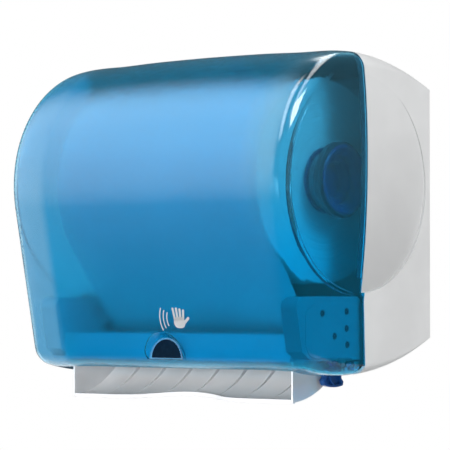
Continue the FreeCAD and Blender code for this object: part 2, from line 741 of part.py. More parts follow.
def towel_web():
    """The loose end of the towel, straight from the front of the roll down to the nip."""
    end = nip_place(WEB_RISE)
    radius = PAPER_RADIUS + FREE_CLEARANCE + WEB_THICKNESS / 2
    reach = math.hypot(end[0] - NOSE_Y, end[1] - NOSE_Z)
    toward_nip = math.degrees(math.atan2(end[1] - NOSE_Z, end[0] - NOSE_Y))
    turn = math.degrees(math.acos(radius / reach))
    start = polar((NOSE_Y, NOSE_Z), radius, toward_nip - turn)
    half = WEB_THICKNESS / 2
    length = math.hypot(end[0] - start[0], end[1] - start[1])
    aside = ((end[1] - start[1]) / length * half, (start[0] - end[0]) / length * half)
    return side_plate(
        -TOWEL_HALF, TOWEL_HALF,
        (start[0] + aside[0], start[1] + aside[1]),
        ((end[0] + aside[0], end[1] + aside[1]),),
        ((end[0] - aside[0], end[1] - aside[1]),),
        ((start[0] - aside[0], start[1] - aside[1]),),
    )


# Gears with involute flanks
def gear_outline(teeth):
    pitch = GEAR_MODULE * teeth / 2
    base = pitch * math.cos(math.radians(PRESSURE_ANGLE))
    tip = pitch + GEAR_MODULE
    root = pitch - 1.25 * GEAR_MODULE
    start = max(base, root + 0.1)
    at_pitch = math.tan(math.radians(PRESSURE_ANGLE)) - math.radians(PRESSURE_ANGLE)
    half_tooth = math.pi / (2 * teeth) - GEAR_BACKLASH / (2 * pitch)

    def half_angle(radius):
        roll = math.acos(base / radius)
        return half_tooth + at_pitch - (math.tan(roll) - roll)

    steps = 4
    radii = [start + (tip - start) * i / steps for i in range(steps + 1)]
    flank = [(root, half_angle(start) + 0.02)] + [(radius, half_angle(radius)) for radius in radii]
    points = []
    for tooth in range(teeth):
        middle = 2 * math.pi * tooth / teeth
        points += [(radius, middle - angle) for radius, angle in flank]
        points += [(radius, middle + angle) for radius, angle in reversed(flank)]
    return points


def gear(teeth, y, z, bore, turn):
    """A spur gear about a line along X, with its first tooth at turn degrees."""
    corners = []
    for radius, angle in gear_outline(teeth):
        spot = polar((y, z), radius, math.degrees(angle) + turn)
        corners.append(vector(GEAR_X, spot[0], spot[1]))
    corners.append(corners[0])
    disc = Part.Face(Part.makePolygon(corners)).extrude(vector(GEAR_WIDTH, 0, 0))
    return disc.cut(rod(GEAR_X - 1, GEAR_X + GEAR_WIDTH + 1, y, z, bore))


def gear_centre_distance(teeth_a, teeth_b):
    return GEAR_MODULE * (teeth_a + teeth_b) / 2


IDLER = polar((DRIVE_Y, DRIVE_Z), gear_centre_distance(ROLLER_TEETH, IDLER_TEETH), IDLER_DIRECTION)
MOTOR = polar(IDLER, gear_centre_distance(IDLER_TEETH, PINION_TEETH), MOTOR_DIRECTION)
ROLLER_TURN = IDLER_DIRECTION
IDLER_PITCH_ANGLE = 360.0 / IDLER_TEETH
IDLER_TURN = IDLER_DIRECTION + 180 + IDLER_PITCH_ANGLE / 2


def pinion_turn():
    """Turn that puts a gap of the pinion on the idler tooth nearest to the line of centres."""
    ahead = (MOTOR_DIRECTION - IDLER_TURN) / IDLER_PITCH_ANGLE
    missed = (ahead - round(ahead)) * IDLER_PITCH_ANGLE
    own = missed * IDLER_TEETH / PINION_TEETH
    return MOTOR_DIRECTION + 180 + own + 180.0 / PINION_TEETH


def drive_shaft():
    return rod(LEFT_PLATE_X, GEAR_X + GEAR_WIDTH + 0.4, DRIVE_Y, DRIVE_Z, DRIVE_SHAFT)


def sleeves(y, z, outer, inner):
    span = 2 * ROLLER_HALF - 12.0
    step = (span - SLEEVE_LENGTH) / (SLEEVE_COUNT - 1)
    start = -span / 2
    return group(*[
        tube(start + i * step, start + i * step + SLEEVE_LENGTH, y, z, outer, inner)
        for i in range(SLEEVE_COUNT)
    ])


def shaft_bushes():
    def bush(x0, x1, flange_x0):
        barrel = rod(x0, x1, DRIVE_Y, DRIVE_Z, BUSH_RADIUS)
        flange = rod(flange_x0, flange_x0 + BUSH_FLANGE_THICKNESS, DRIVE_Y, DRIVE_Z, BUSH_FLANGE)
        bore = rod(x0 - 5, x1 + 5, DRIVE_Y, DRIVE_Z, DRIVE_SHAFT + RUN_CLEARANCE)
        return join(barrel, flange).cut(bore)
    left_inner = LEFT_PLATE_X + PLATE_THICKNESS
    right_outer = RIGHT_PLATE_X + PLATE_THICKNESS
    left = bush(LEFT_PLATE_X, left_inner + BUSH_FLANGE_THICKNESS, left_inner)
    right = bush(RIGHT_PLATE_X - BUSH_FLANGE_THICKNESS, right_outer, RIGHT_PLATE_X - BUSH_FLANGE_THICKNESS)
    return group(left, right)


def motor():
    x1 = RIGHT_PLATE_X
    can = rod(x1 - MOTOR_LENGTH, x1, MOTOR[0], MOTOR[1], MOTOR_RADIUS)
    nose = rod(x1, x1 + PLATE_THICKNESS, MOTOR[0], MOTOR[1], MOTOR_NOSE)
    tail = rod(x1 - MOTOR_LENGTH - 3.0, x1 - MOTOR_LENGTH, MOTOR[0], MOTOR[1], MOTOR_NOSE)
    bore = rod(x1 - 12.0, x1 + 10.0, MOTOR[0], MOTOR[1], MOTOR_SHAFT + RUN_CLEARANCE)
    return join(can, nose, tail).cut(bore)


def motor_pinion():
    shaft = rod(RIGHT_PLATE_X - 11.0, GEAR_X + GEAR_WIDTH, MOTOR[0], MOTOR[1], MOTOR_SHAFT)
    return join(gear(PINION_TEETH, MOTOR[0], MOTOR[1], MOTOR_SHAFT, pinion_turn()), shaft)


def idler_gear():
    return gear(IDLER_TEETH, IDLER[0], IDLER[1], IDLER_AXLE + RUN_CLEARANCE, IDLER_TURN)


def idler_axle():
    return rod(RIGHT_PLATE_X + PLATE_THICKNESS, GEARBOX_OUTER, IDLER[0], IDLER[1], IDLER_AXLE)


def roller_gear():
    return gear(ROLLER_TEETH, DRIVE_Y, DRIVE_Z, DRIVE_SHAFT, ROLLER_TURN)


# Feed frame
def frame_plate(x0):
    x1 = x0 + PLATE_THICKNESS
    ear_front = CARRIER_Y - 8.0
    ear_back = CARRIER_Y + 9.0
    return side_plate(
        x0, x1,
        (FRAME_FRONT, FRAME_BOTTOM),
        ((FRAME_FRONT, FRAME_TOP),),
        ((ear_front, FRAME_TOP),),
        ((ear_front, EAR_TOP),),
        ((ear_back, EAR_TOP),),
        ((ear_back + 6.0, FRAME_TOP),),
        ((FRAME_BACK, FRAME_TOP),),
        ((FRAME_BACK, FRAME_BOTTOM),),
    )


def feed_frame():
    x0 = LEFT_PLATE_X
    x1 = RIGHT_PLATE_X + PLATE_THICKNESS
    front = block(x0, x1, FRAME_FRONT, FRAME_FRONT + FRAME_WALL, FRAME_BOTTOM, FRAME_TOP)
    top = block(x0, x1, FRAME_FRONT, DECK_BACK, FRAME_TOP - FRAME_WALL, FRAME_TOP)
    bottom = block(CHUTE_LEFT - 2.0, x1, FRAME_FRONT, DECK_BACK, FRAME_BOTTOM, FRAME_BOTTOM + FRAME_WALL)
    tie = block(x0, x1, FRAME_BACK - TIE_THICKNESS, FRAME_BACK, FRAME_SEAT, TIE_TOP)
    feet = [block(x - FOOT_HALF_X, x + FOOT_HALF_X, FRAME_BACK - FOOT_HALF_Y, FRAME_BACK + FOOT_HALF_Y,
                  FRAME_SEAT, FRAME_SEAT + FRAME_WALL) for x in (-FRAME_SCREW_X, FRAME_SCREW_X)]
    frame = join(front, top, bottom, tie, frame_plate(x0), frame_plate(RIGHT_PLATE_X), *feet)
    frame = frame.cut(rod(x0 - 1, x1 + 1, DRIVE_Y, DRIVE_Z, BUSH_RADIUS))
    frame = frame.cut(rod(RIGHT_PLATE_X - 1, x1 + 1, MOTOR[0], MOTOR[1], MOTOR_NOSE))
    frame = frame.cut(rod(x0 - 1, x1 + 1, CARRIER_Y, CARRIER_Z, CARRIER_PIN))
    frame = frame.cut(window_outline(FRAME_FRONT - 1, FRAME_FRONT + FRAME_WALL + 1, 13.0, WINDOW_Z))
    for x in (-FRAME_SCREW_X, FRAME_SCREW_X):
        frame = frame.cut(post(x, FRAME_SCREW_Y, FRAME_BOTTOM, TIE_TOP, FRAME_SCREW))
    return frame


def frame_screws():
    low = FRAME_SEAT + FRAME_WALL
    screws = []
    for x in (-FRAME_SCREW_X, FRAME_SCREW_X):
        shank = post(x, FRAME_SCREW_Y, low - 2 * FRAME_WALL, low, FRAME_SCREW)
        head = post(x, FRAME_SCREW_Y, low, low + SCREW_HEAD_HEIGHT, SCREW_HEAD)
        screws.append(join(shank, head))
    return group(*screws)


# Pinch roller and its carrier
def carrier_arm(x0):
    arm_body = side_plate(
        x0, x0 + CARRIER_ARM,
        (CARRIER_Y - CARRIER_ARM_RADIUS, CARRIER_Z),
        ((CARRIER_Y, CARRIER_Z + CARRIER_ARM_RADIUS), (CARRIER_Y + CARRIER_ARM_RADIUS, CARRIER_Z)),
        ((PINCH_Y + 5.0, PINCH_Z),),
        ((PINCH_Y, PINCH_Z - 5.0), (PINCH_Y - 5.0, PINCH_Z)),
    )
    x1 = x0 + CARRIER_ARM
    arm_body = arm_body.cut(rod(x0 - 1, x1 + 1, CARRIER_Y, CARRIER_Z, CARRIER_PIN + RUN_CLEARANCE))
    return arm_body.cut(rod(x0 - 1, x1 + 1, PINCH_Y, PINCH_Z, PINCH_SHAFT + RUN_CLEARANCE))


def pinch_carrier():
    x0 = -ROLLER_HALF - CARRIER_ARM
    right_x = ROLLER_HALF
    x1 = right_x + CARRIER_ARM
    bar = block(x0, x1, CARRIER_Y - 4.5, CARRIER_Y + 1.0, CARRIER_Z - 7.5, CARRIER_Z - 4.0)
    link = block(right_x, x1, LINK_Y - 4.0, LINK_Y + 2.5, LINK_Z - 2.5, PINCH_Z + 2.0)
    pin = rod(right_x, LEVER_X + LEVER_THICKNESS, LINK_Y, LINK_Z, LINK_PIN)
    return join(carrier_arm(x0), carrier_arm(right_x), bar, link, pin)


def carrier_pins():
    left = rod(LEFT_PLATE_X, -ROLLER_HALF, CARRIER_Y, CARRIER_Z, CARRIER_PIN)
    right = rod(ROLLER_HALF, RIGHT_PLATE_X + PLATE_THICKNESS, CARRIER_Y, CARRIER_Z, CARRIER_PIN)
    return group(left, right)


def pinch_shaft():
    return rod(-ROLLER_HALF - CARRIER_ARM, ROLLER_HALF + CARRIER_ARM, PINCH_Y, PINCH_Z, PINCH_SHAFT)


def carrier_springs():
    start = ROLLER_HALF + CARRIER_ARM + 1.2
    return group(coil(start, CARRIER_Y, CARRIER_Z, CARRIER_PIN + 1.0, 0.5, 1.6, 4))


def release_lever():
    x1 = LEVER_X + LEVER_THICKNESS
    skin = 1.8

    def at(y, z):
        return (LEVER_Y + y, LEVER_Z + z)

    body = side_plate(
        LEVER_X, x1,
        at(-2.0, 4.5),
        (at(4.5, 1.0),),
        (at(5.0, -8.5),),
        (at(8.0, -11.5),),
        (at(7.0, -15.0),),
        (at(-7.0, -16.5), at(-20.0, -14.5)),
        (at(-22.5, -10.0),),
        (at(-16.0, -3.0),),
    )
    hollow = side_plate(
        LEVER_X + skin, x1 + 1.0,
        at(2.5, -6.0),
        (at(3.2, -9.5),),
        (at(5.0, -13.0),),
        (at(-7.0, -14.4), at(-18.5, -12.6)),
        (at(-20.0, -10.2),),
        (at(-14.8, -5.0),),
    )
    rib = side_plate(
        LEVER_X + skin / 2, x1,
        at(-15.5, -4.5),
        (at(-13.2, -4.5),),
        (at(-4.0, -15.5),),
        (at(-6.6, -15.8),),
    )
    reach = (LINK_Y - LEVER_Y, LINK_Z - LEVER_Z)
    length = math.hypot(*reach)
    along = (reach[0] / length, reach[1] / length)
    across = (-along[1], along[0])

    def spot(forward, sideways):
        return (LEVER_Y + along[0] * forward + across[0] * sideways,
                LEVER_Z + along[1] * forward + across[1] * sideways)

    finger = side_plate(LEVER_X, x1, spot(0, -4.5), (spot(length + 4.0, -4.5),),
                        (spot(length + 4.0, 4.5),), (spot(0, 4.5),))
    gap = LINK_PIN + 0.5
    fork = side_plate(LEVER_X - 1, x1 + 1, spot(length - 4.0, -gap), (spot(length + 9.0, -gap),),
                      (spot(length + 9.0, gap),), (spot(length - 4.0, gap),))
    lever = join(body.cut(hollow), rib, finger).cut(fork)
    return lever.cut(rod(LEVER_X - 1, x1 + 1, LEVER_Y, LEVER_Z, LEVER_PIN + RUN_CLEARANCE))


def lever_pin():
    return rod(LEVER_X, RIGHT_PLATE_X, LEVER_Y, LEVER_Z, LEVER_PIN)


# Boxes at the ends of the feed frame
def end_box(x0, x1, back, drop, inset=0.0):
    """A box along the lower front of the case, its rear top lowered by drop, drawn in by inset."""
    top = BOX_TOP - inset
    return side_plate(
        x0, x1,
        (BOX_FOOT + inset, FRAME_SEAT + inset),
        ((BOX_CHIN[0] + inset, BOX_CHIN[1]),),
        ((BOX_BROW[0] + inset, BOX_BROW[1]),),
        ((BOX_BROW[0] + 1.5 + inset, BOX_BROW[1] + 9.5 - inset), (BOX_TOP_FRONT + inset / 2, top)),
        ((BOX_BACK - inset, top),),
        ((back - inset, top - drop),),
        ((back - inset, FRAME_SEAT + inset),),
    )


def gearbox_shape(x0, x1, inset=0.0):
    wheel_case = rod(x0, x1, DRIVE_Y, DRIVE_Z, WHEEL_SPACE + BOX_WALL - inset)
    return join(end_box(x0, x1, GEARBOX_BACK, GEARBOX_DROP, inset), wheel_case)


def lug_space(grow):
    return block(LUG_SIDE - grow, 200.0, -126.0 - grow, 0.0, -160.0, HINGE_Z + KNUCKLE_RADIUS + 1.5 + grow)


def gearbox_housing():
    body = gearbox_shape(RIGHT_PLATE_X + PLATE_THICKNESS, GEARBOX_OUTER)
    inner_x = RIGHT_PLATE_X + PLATE_THICKNESS + BOX_WALL
    void = gearbox_shape(inner_x, GEARBOX_OUTER + 1.0, BOX_WALL)
    body = body.cut(void.cut(lug_space(BOX_WALL)))
    body = body.cut(lug_space(0.0))
    x0 = RIGHT_PLATE_X
    body = body.cut(rod(x0, GEAR_X, DRIVE_Y, DRIVE_Z, BUSH_RADIUS))
    body = body.cut(rod(x0, GEAR_X, MOTOR[0], MOTOR[1], MOTOR_NOSE))
    boss = rod(inner_x, GEAR_X - 0.2, IDLER[0], IDLER[1], IDLER_AXLE + 2.0)
    body = join(body, boss)
    body = body.cut(rod(x0, GEARBOX_OUTER, IDLER[0], IDLER[1], IDLER_AXLE))
    for y, z in gearbox_screw_places():
        screw_post = rod(x0 + PLATE_THICKNESS, GEARBOX_OUTER, y, z, 3.0)
        if screw_post.common(idler_and_mates()).Volume < 0.001:
            body = body.fuse(screw_post)
    return body


def idler_and_mates():
    clear = GEAR_MODULE * 1.5
    x0 = GEAR_X - 0.5
    x1 = GEAR_X + GEAR_WIDTH + 0.5
    discs = [
        rod(x0, x1, IDLER[0], IDLER[1], GEAR_MODULE * IDLER_TEETH / 2 + clear),
        rod(x0, x1, DRIVE_Y, DRIVE_Z, GEAR_MODULE * ROLLER_TEETH / 2 + clear),
        rod(x0, x1, MOTOR[0], MOTOR[1], GEAR_MODULE * PINION_TEETH / 2 + clear),
    ]
    return discs[0].fuse(discs[1:])


def gearbox_screw_places():
    """Places (Y, Z) of the five screws on the panel."""
    return [(-157.0, -93.0), (-121.0, -91.4), (-121.0, -107.0), (-139.0, -114.0), (-120.0, -122.0)]


def gearbox_cover():
    x1 = GEARBOX_OUTER + BOX_COVER
    plate = gearbox_shape(GEARBOX_OUTER, x1).cut(lug_space(0.0))
    sunk = 0.5
    panel = block(x1 - sunk, x1 + PANEL_HEIGHT, *PANEL_Y, *PANEL_Z)
    corners = [edge for edge in panel.Edges if abs(edge.BoundBox.XLength - sunk - PANEL_HEIGHT) < 0.01]
    panel = panel.makeFillet(PANEL_CORNER, corners)
    plate = join(plate, panel)
    for y, z in gearbox_screw_places():
        plate = plate.cut(rod(x1 - SCREW_SINK, x1 + 2.0, y, z, SCREW_HEAD + 0.2))
    return plate


def gearbox_screws():
    x1 = GEARBOX_OUTER + BOX_COVER
    return group(*[rod(x1 - SCREW_SINK, x1 + PANEL_HEIGHT + 0.4, y, z, SCREW_HEAD)
                   for y, z in gearbox_screw_places()])


def control_box():
    x1 = LEFT_PLATE_X
    x0 = CONTROL_OUTER + CASE_WALL
    body = end_box(x0, x1, BOX_BACK, 0.0)
    body = body.cut(end_box(x0 - 1.0, x1 - CASE_WALL, BOX_BACK, 0.0, CASE_WALL))
    slot_half = SELECTOR_STEM[0] + FREE_CLEARANCE
    slot_reach = SELECTOR_STEM[1] + SELECTOR_TRAVEL + 0.5
    slot = block(SELECTOR_X - slot_half, SELECTOR_X + slot_half, SELECTOR_Y - slot_reach,
                 SELECTOR_Y + slot_reach, BOX_TOP - CASE_WALL - 1.0, BOX_TOP + 1.0)
    return body.cut(slot)


def mode_selector():
    base_top = BOX_TOP - CASE_WALL - FREE_CLEARANCE
    half_x, half_y = SELECTOR_STEM
    stem = block(SELECTOR_X - half_x, SELECTOR_X + half_x, SELECTOR_Y - half_y, SELECTOR_Y + half_y,
                 base_top, BOX_TOP + 3.0)
    base = block(SELECTOR_X - 2 * half_x, SELECTOR_X + 2 * half_x, SELECTOR_Y - 6.0, SELECTOR_Y + 6.0,
                 base_top - 2.0, base_top)
    return join(stem, base)


def control_box_lid():
    return end_box(CONTROL_OUTER, CONTROL_OUTER + CASE_WALL, BOX_BACK, 0.0)


def control_board():
    x1 = BOARD_X + BOARD_THICKNESS
    y0, y1, z0, z1 = (-176.0, -112.0, -125.0, -88.0)
    board = block(BOARD_X, x1, y0, y1, z0, z1)
    posts = [rod(x1, x1 + BOARD_STANDOFF, y, z, 2.0)
             for y in (y0 + 4.0, y1 - 4.0) for z in (z0 + 4.0, z1 - 4.0)]
    return join(board, *posts)


def board_chips():
    return group(
        block(BOARD_X - 2.0, BOARD_X, -160.0, -148.0, -112.0, -100.0),
        block(BOARD_X - 5.0, BOARD_X, -134.0, -124.0, -120.0, -106.0),
        rod(BOARD_X - 8.0, BOARD_X, -168.0, -116.0, 3.5),
        block(BOARD_X - 1.4, BOARD_X, -144.0, -138.0, -100.0, -96.0),
    )


def sensor_board():
    y0 = FRAME_FRONT + FRAME_WALL
    return block(SENSOR_X - WINDOW_RADIUS, SENSOR_X + WINDOW_RADIUS, y0, y0 + BOARD_THICKNESS,
                 FRAME_SEAT + FREE_CLEARANCE, FRAME_TOP - 4.0)


def behind_window(x, z, radius):
    """A round part that stands on the sensor board and looks out through the frame."""
    return stud(SENSOR_X + x, z, FRAME_FRONT + 0.4, FRAME_FRONT + FRAME_WALL, radius)


def sensor_emitters():
    return group(behind_window(-7.0, -129.0, 2.5), behind_window(7.0, -129.0, 2.5))


def status_led():
    return behind_window(0.0, -126.5, 1.5)


# Outlet
def chute_curve(offset):
    """The chute floor as start, middle and end of an arc, moved towards the towel by offset."""
    lip = (CHUTE_LIP[0] + 0.24 * offset, CHUTE_LIP[1] + 0.97 * offset)
    middle = (CHUTE_MIDDLE[0] - 0.42 * offset, CHUTE_MIDDLE[1] + 0.91 * offset)
    top = (CHUTE_TOP[0] - 0.85 * offset, CHUTE_TOP[1] + 0.52 * offset)
    return lip, middle, top


def chute_floor(low, high):
    """The floor between two offsets of its curve."""
    under = chute_curve(low)
    over = chute_curve(high)
    return side_plate(CHUTE_LEFT, CHUTE_RIGHT, over[0], (over[1], over[2]),
                      (under[2],), (under[1], under[0]))


def behind_lip(shift):
    """Everything behind the lip line, which runs back in a soft scallop and is moved back by shift."""
    y0 = CHUTE_LIP[0] + shift
    bend = 2 * math.atan(SCALLOP_DEPTH / SCALLOP_HALF)
    radius = SCALLOP_HALF / 2 / math.sin(bend)
    reach = radius * math.sin(bend / 2)
    rise = radius * (1 - math.cos(bend / 2))
    left = SCALLOP_X - SCALLOP_HALF
    right = SCALLOP_X + SCALLOP_HALF
    half = SCALLOP_HALF / 2
    deep = y0 + SCALLOP_DEPTH
    return plan_plate(
        -FAR, 0.0,
        (-FAR, y0),
        ((left, y0),),
        ((left + reach, y0 + rise), (left + half, y0 + SCALLOP_DEPTH / 2)),
        ((SCALLOP_X - reach, deep - rise), (SCALLOP_X, deep)),
        ((SCALLOP_X + reach, deep - rise), (right - half, y0 + SCALLOP_DEPTH / 2)),
        ((right - reach, y0 + rise), (right, y0)),
        ((FAR, y0),),
        ((FAR, 0.0),),
        ((-FAR, 0.0),),
    )


def chute_ribs():
    """Guide ribs that stand tallest at the top of the floor and run out before the lip."""
    inner = chute_curve(0.0)
    raised = chute_curve(RIB_HEIGHT)
    half_way = chute_curve(RIB_HEIGHT / 3)[1]
    step = (CHUTE_RIGHT - CHUTE_LEFT) / (RIB_COUNT + 1)
    ribs = []
    for i in range(1, RIB_COUNT + 1):
        x = CHUTE_LEFT + i * step
        ribs.append(side_plate(x - RIB_WIDTH / 2, x + RIB_WIDTH / 2, inner[0],
                               (half_way, raised[2]), (inner[2],), (inner[1], inner[0])))
    return ribs


def chute_wall(x):
    outer = chute_curve(-CHUTE_WALL)
    return side_plate(
        x, x + CHUTE_WALL,
        outer[0],
        ((outer[0][0], FRAME_BOTTOM),),
        ((DECK_BACK, FRAME_BOTTOM),),
        (outer[2],),
        (outer[1], outer[0]),
    )


def towel_chute():
    bead = chute_floor(-CHUTE_WALL - BEAD_PROUD, BEAD_PROUD).common(behind_lip(0.0))
    bead = bead.cut(behind_lip(BEAD_WIDTH))
    floor = chute_floor(-CHUTE_WALL, 0.0)
    inside = join(floor, *chute_ribs()).common(behind_lip(0.0))
    chute = join(inside, bead, chute_wall(CHUTE_LEFT), chute_wall(CHUTE_RIGHT - CHUTE_WALL))
    low = chute.BoundBox.ZMin
    edge = low + CHUTE_CORNER
    bend = CHUTE_CORNER * (1 - math.sqrt(0.5))
    rounded = front_plate(
        -FAR, 0.0,
        (CHUTE_LEFT, 0.0),
        ((CHUTE_LEFT, edge),),
        ((CHUTE_LEFT + bend, low + bend), (CHUTE_LEFT + CHUTE_CORNER, low)),
        ((CHUTE_RIGHT, low),),
        ((CHUTE_RIGHT, 0.0),),
    )
    return chute.common(rounded)


def tear_bar():
    """A strip with a saw edge along its foot."""
    x0 = CHUTE_LEFT + CHUTE_WALL + 1.0
    x1 = CHUTE_RIGHT - CHUTE_WALL - 1.0
    pitch = (x1 - x0) / TEAR_TEETH
    tip = FRAME_BOTTOM - TEAR_BAR_HEIGHT
    root = tip + TOOTH_HEIGHT
    legs = [((x1, FRAME_BOTTOM),)]
    for i in range(TEAR_TEETH):
        legs.append(((x1 - i * pitch, root),))
        legs.append(((x1 - (i + 0.5) * pitch, tip),))
    legs.append(((x0, root),))
    return front_plate(TEAR_BAR_Y, TEAR_BAR_Y + TEAR_BAR_THICKNESS, (x0, FRAME_BOTTOM), *legs)


# Battery compartment on the wall side, under the roll
def battery_case():
    outer = block(-BAY_HALF - CASE_WALL, BAY_HALF + CASE_WALL, BAY_FRONT, -WALL,
                  BAY_LOW - CASE_WALL, BAY_HIGH + CASE_WALL)
    case = outer.cut(block(-BAY_HALF, BAY_HALF, BAY_FRONT - 1, -WALL - CASE_WALL, BAY_LOW, BAY_HIGH))
    for side in (-1, 1):
        x = side * (BAY_HALF + CASE_WALL / 2)
        ear = block(x - CASE_WALL / 2, x + CASE_WALL / 2, DOOR_PIN_Y - EAR_HALF, BAY_FRONT,
                    DOOR_PIN_Z - EAR_HALF, DOOR_PIN_Z + EAR_HALF)
        case = join(case, ear)
        case = case.cut(rod(x - CASE_WALL, x + CASE_WALL, DOOR_PIN_Y, DOOR_PIN_Z, DOOR_PIN + RUN_CLEARANCE))
    return case


def battery_door():
    x0 = -BAY_HALF + FREE_CLEARANCE
    y1 = BAY_FRONT - FREE_CLEARANCE
    door = block(x0, -x0, y1 - DOOR_THICKNESS, y1, DOOR_PIN_Z, BAY_HIGH + CASE_WALL)
    pin = rod(-BAY_HALF - CASE_WALL, BAY_HALF + CASE_WALL, DOOR_PIN_Y, DOOR_PIN_Z, DOOR_PIN)
    grip = block(-14.0, 14.0, y1 - DOOR_THICKNESS - 3.0, y1 - DOOR_THICKNESS, BAY_HIGH - 3.0, BAY_HIGH - 1.0)
    return join(door, pin, grip)


def battery_cells():
    cells = []
    start = -BAY_HALF + CONTACT_THICKNESS
    for i in range(CELL_COUNT):
        x = start + i * CELL_LENGTH
        can = rod(x, x + CELL_LENGTH - CELL_NUB, CELL_Y, CELL_Z, CELL_RADIUS)
        nub = rod(x, x + CELL_LENGTH, CELL_Y, CELL_Z, CELL_NUB_RADIUS)
        cells.append(join(can, nub))
    return group(*cells)


def contact_plates():
    def plate(x):
        return block(x, x + CONTACT_THICKNESS, CELL_Y - CONTACT_HALF, CELL_Y + CONTACT_HALF,
                     CELL_Z - CONTACT_HALF, CELL_Z + CONTACT_HALF)
    return group(plate(-BAY_HALF), plate(BAY_HALF - CONTACT_THICKNESS))


def contact_spring():
    end_gap = CONTACT_WIRE + 0.2
    start = -BAY_HALF + CONTACT_THICKNESS + CELL_COUNT * CELL_LENGTH + end_gap
    end = BAY_HALF - CONTACT_THICKNESS - end_gap
    pitch = (end - start) / CONTACT_TURNS
    return coil(start, CELL_Y, CELL_Z, CONTACT_COIL, CONTACT_WIRE, pitch, CONTACT_TURNS)


def main():
    os.makedirs("parts", exist_ok=True)
    shell = case_body(0.0).cut(case_body(WALL))
    pieces = {
        "rear_housing": rear_housing(shell),
        "front_cover": front_cover(shell),
        "hinge_pins": hinge_pins(),
        "sensor_window": sensor_window(),
        "lock_body": lock_body(),
        "lock_bolt": lock_bolt(),
        "key_barrel": key_barrel(),
        "left_arm": mirrored(arm(LEFT_NECK)),
        "right_arm": arm(HUB_BODY + RUN_CLEARANCE),
        "arm_screws": arm_screws(),
        "left_hub": left_hub(),
        "right_hub": right_hub(),
        "hub_spring": hub_spring(),
        "roll_core": roll_core(),
        "towel_roll": towel_roll(),
        "towel_web": towel_web(),
        "feed_frame": feed_frame(),
        "frame_screws": frame_screws(),
        "drive_shaft": drive_shaft(),
        "drive_sleeves": sleeves(DRIVE_Y, DRIVE_Z, DRIVE_RADIUS, DRIVE_SHAFT),
        "shaft_bushes": shaft_bushes(),
        "roller_gear": roller_gear(),
        "idler_gear": idler_gear(),
        "idler_axle": idler_axle(),
        "motor": motor(),
        "motor_pinion": motor_pinion(),
        "gearbox_housing": gearbox_housing(),
        "gearbox_cover": gearbox_cover(),
        "gearbox_screws": gearbox_screws(),
        "pinch_carrier": pinch_carrier(),
        "pinch_shaft": pinch_shaft(),
        "pinch_sleeves": sleeves(PINCH_Y, PINCH_Z, PINCH_RADIUS, PINCH_SHAFT),
        "carrier_pins": carrier_pins(),
        "carrier_springs": carrier_springs(),
        "release_lever": release_lever(),
        "lever_pin": lever_pin(),
        "control_box": control_box(),
        "control_box_lid": control_box_lid(),
        "control_board": control_board(),
        "board_chips": board_chips(),
        "mode_selector": mode_selector(),
        "sensor_board": sensor_board(),
        "sensor_emitters": sensor_emitters(),
        "status_led": status_led(),
        "towel_chute": towel_chute(),
        "tear_bar": tear_bar(),
        "battery_case": battery_case(),
        "battery_door": battery_door(),
        "battery_cells": battery_cells(),
        "contact_plates": contact_plates(),
        "contact_spring": contact_spring(),
    }
    for name, shape in pieces.items():
        box = shape.BoundBox
        print(name, len(shape.Solids), shape.isValid(), round(shape.Volume),
              [round(value, 1) for value in (box.XMin, box.XMax, box.YMin, box.YMax, box.ZMin, box.ZMax)])
        shape.exportStep("parts/" + name + ".step")


main()
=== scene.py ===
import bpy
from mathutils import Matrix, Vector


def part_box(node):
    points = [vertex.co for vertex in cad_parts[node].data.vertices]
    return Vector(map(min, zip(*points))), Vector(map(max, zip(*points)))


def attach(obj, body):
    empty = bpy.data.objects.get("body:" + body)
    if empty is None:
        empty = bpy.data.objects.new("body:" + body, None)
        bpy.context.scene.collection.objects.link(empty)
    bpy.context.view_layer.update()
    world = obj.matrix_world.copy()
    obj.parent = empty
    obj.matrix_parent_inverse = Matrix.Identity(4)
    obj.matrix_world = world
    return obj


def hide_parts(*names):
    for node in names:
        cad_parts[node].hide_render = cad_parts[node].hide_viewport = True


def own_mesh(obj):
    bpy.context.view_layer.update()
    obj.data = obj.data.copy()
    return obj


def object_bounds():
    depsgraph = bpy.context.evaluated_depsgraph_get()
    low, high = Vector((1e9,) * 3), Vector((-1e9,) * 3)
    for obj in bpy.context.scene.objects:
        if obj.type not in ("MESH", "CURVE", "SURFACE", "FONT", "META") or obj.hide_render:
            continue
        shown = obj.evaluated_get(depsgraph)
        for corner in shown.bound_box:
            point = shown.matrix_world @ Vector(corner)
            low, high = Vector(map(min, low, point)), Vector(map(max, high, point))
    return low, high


bl_info = {
    "name": "Roll Towel Dispenser Looks",
    "version": (1, 0, 0),
    "blender": (4, 5, 0),
    "location": "3D View > Sidebar > Dispenser",
    "description": "Dresses the packed roll towel dispenser with its finishes and fine pieces",
    "category": "Object",
}

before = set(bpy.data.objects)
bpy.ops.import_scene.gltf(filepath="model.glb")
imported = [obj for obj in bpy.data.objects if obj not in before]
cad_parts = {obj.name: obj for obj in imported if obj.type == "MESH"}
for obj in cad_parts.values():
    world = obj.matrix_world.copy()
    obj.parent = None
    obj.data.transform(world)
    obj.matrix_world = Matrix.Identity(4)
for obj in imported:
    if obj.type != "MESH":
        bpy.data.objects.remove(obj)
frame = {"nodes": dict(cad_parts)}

import math
import random

import bmesh
import bpy
from bpy.props import FloatProperty, FloatVectorProperty, IntProperty, PointerProperty
from mathutils import Vector
from mathutils.bvhtree import BVHTree

CAD_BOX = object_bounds()
MM = 0.001

# The towel roll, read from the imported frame
ROLL_LOW, ROLL_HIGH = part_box("towel_roll")
ROLL_AXIS = ((ROLL_LOW.y + ROLL_HIGH.y) / 2, (ROLL_LOW.z + ROLL_HIGH.z) / 2)
ROLL_RADIUS = (ROLL_HIGH.z - ROLL_LOW.z) / 2
ROLL_WIDTH = ROLL_HIGH.x - ROLL_LOW.x

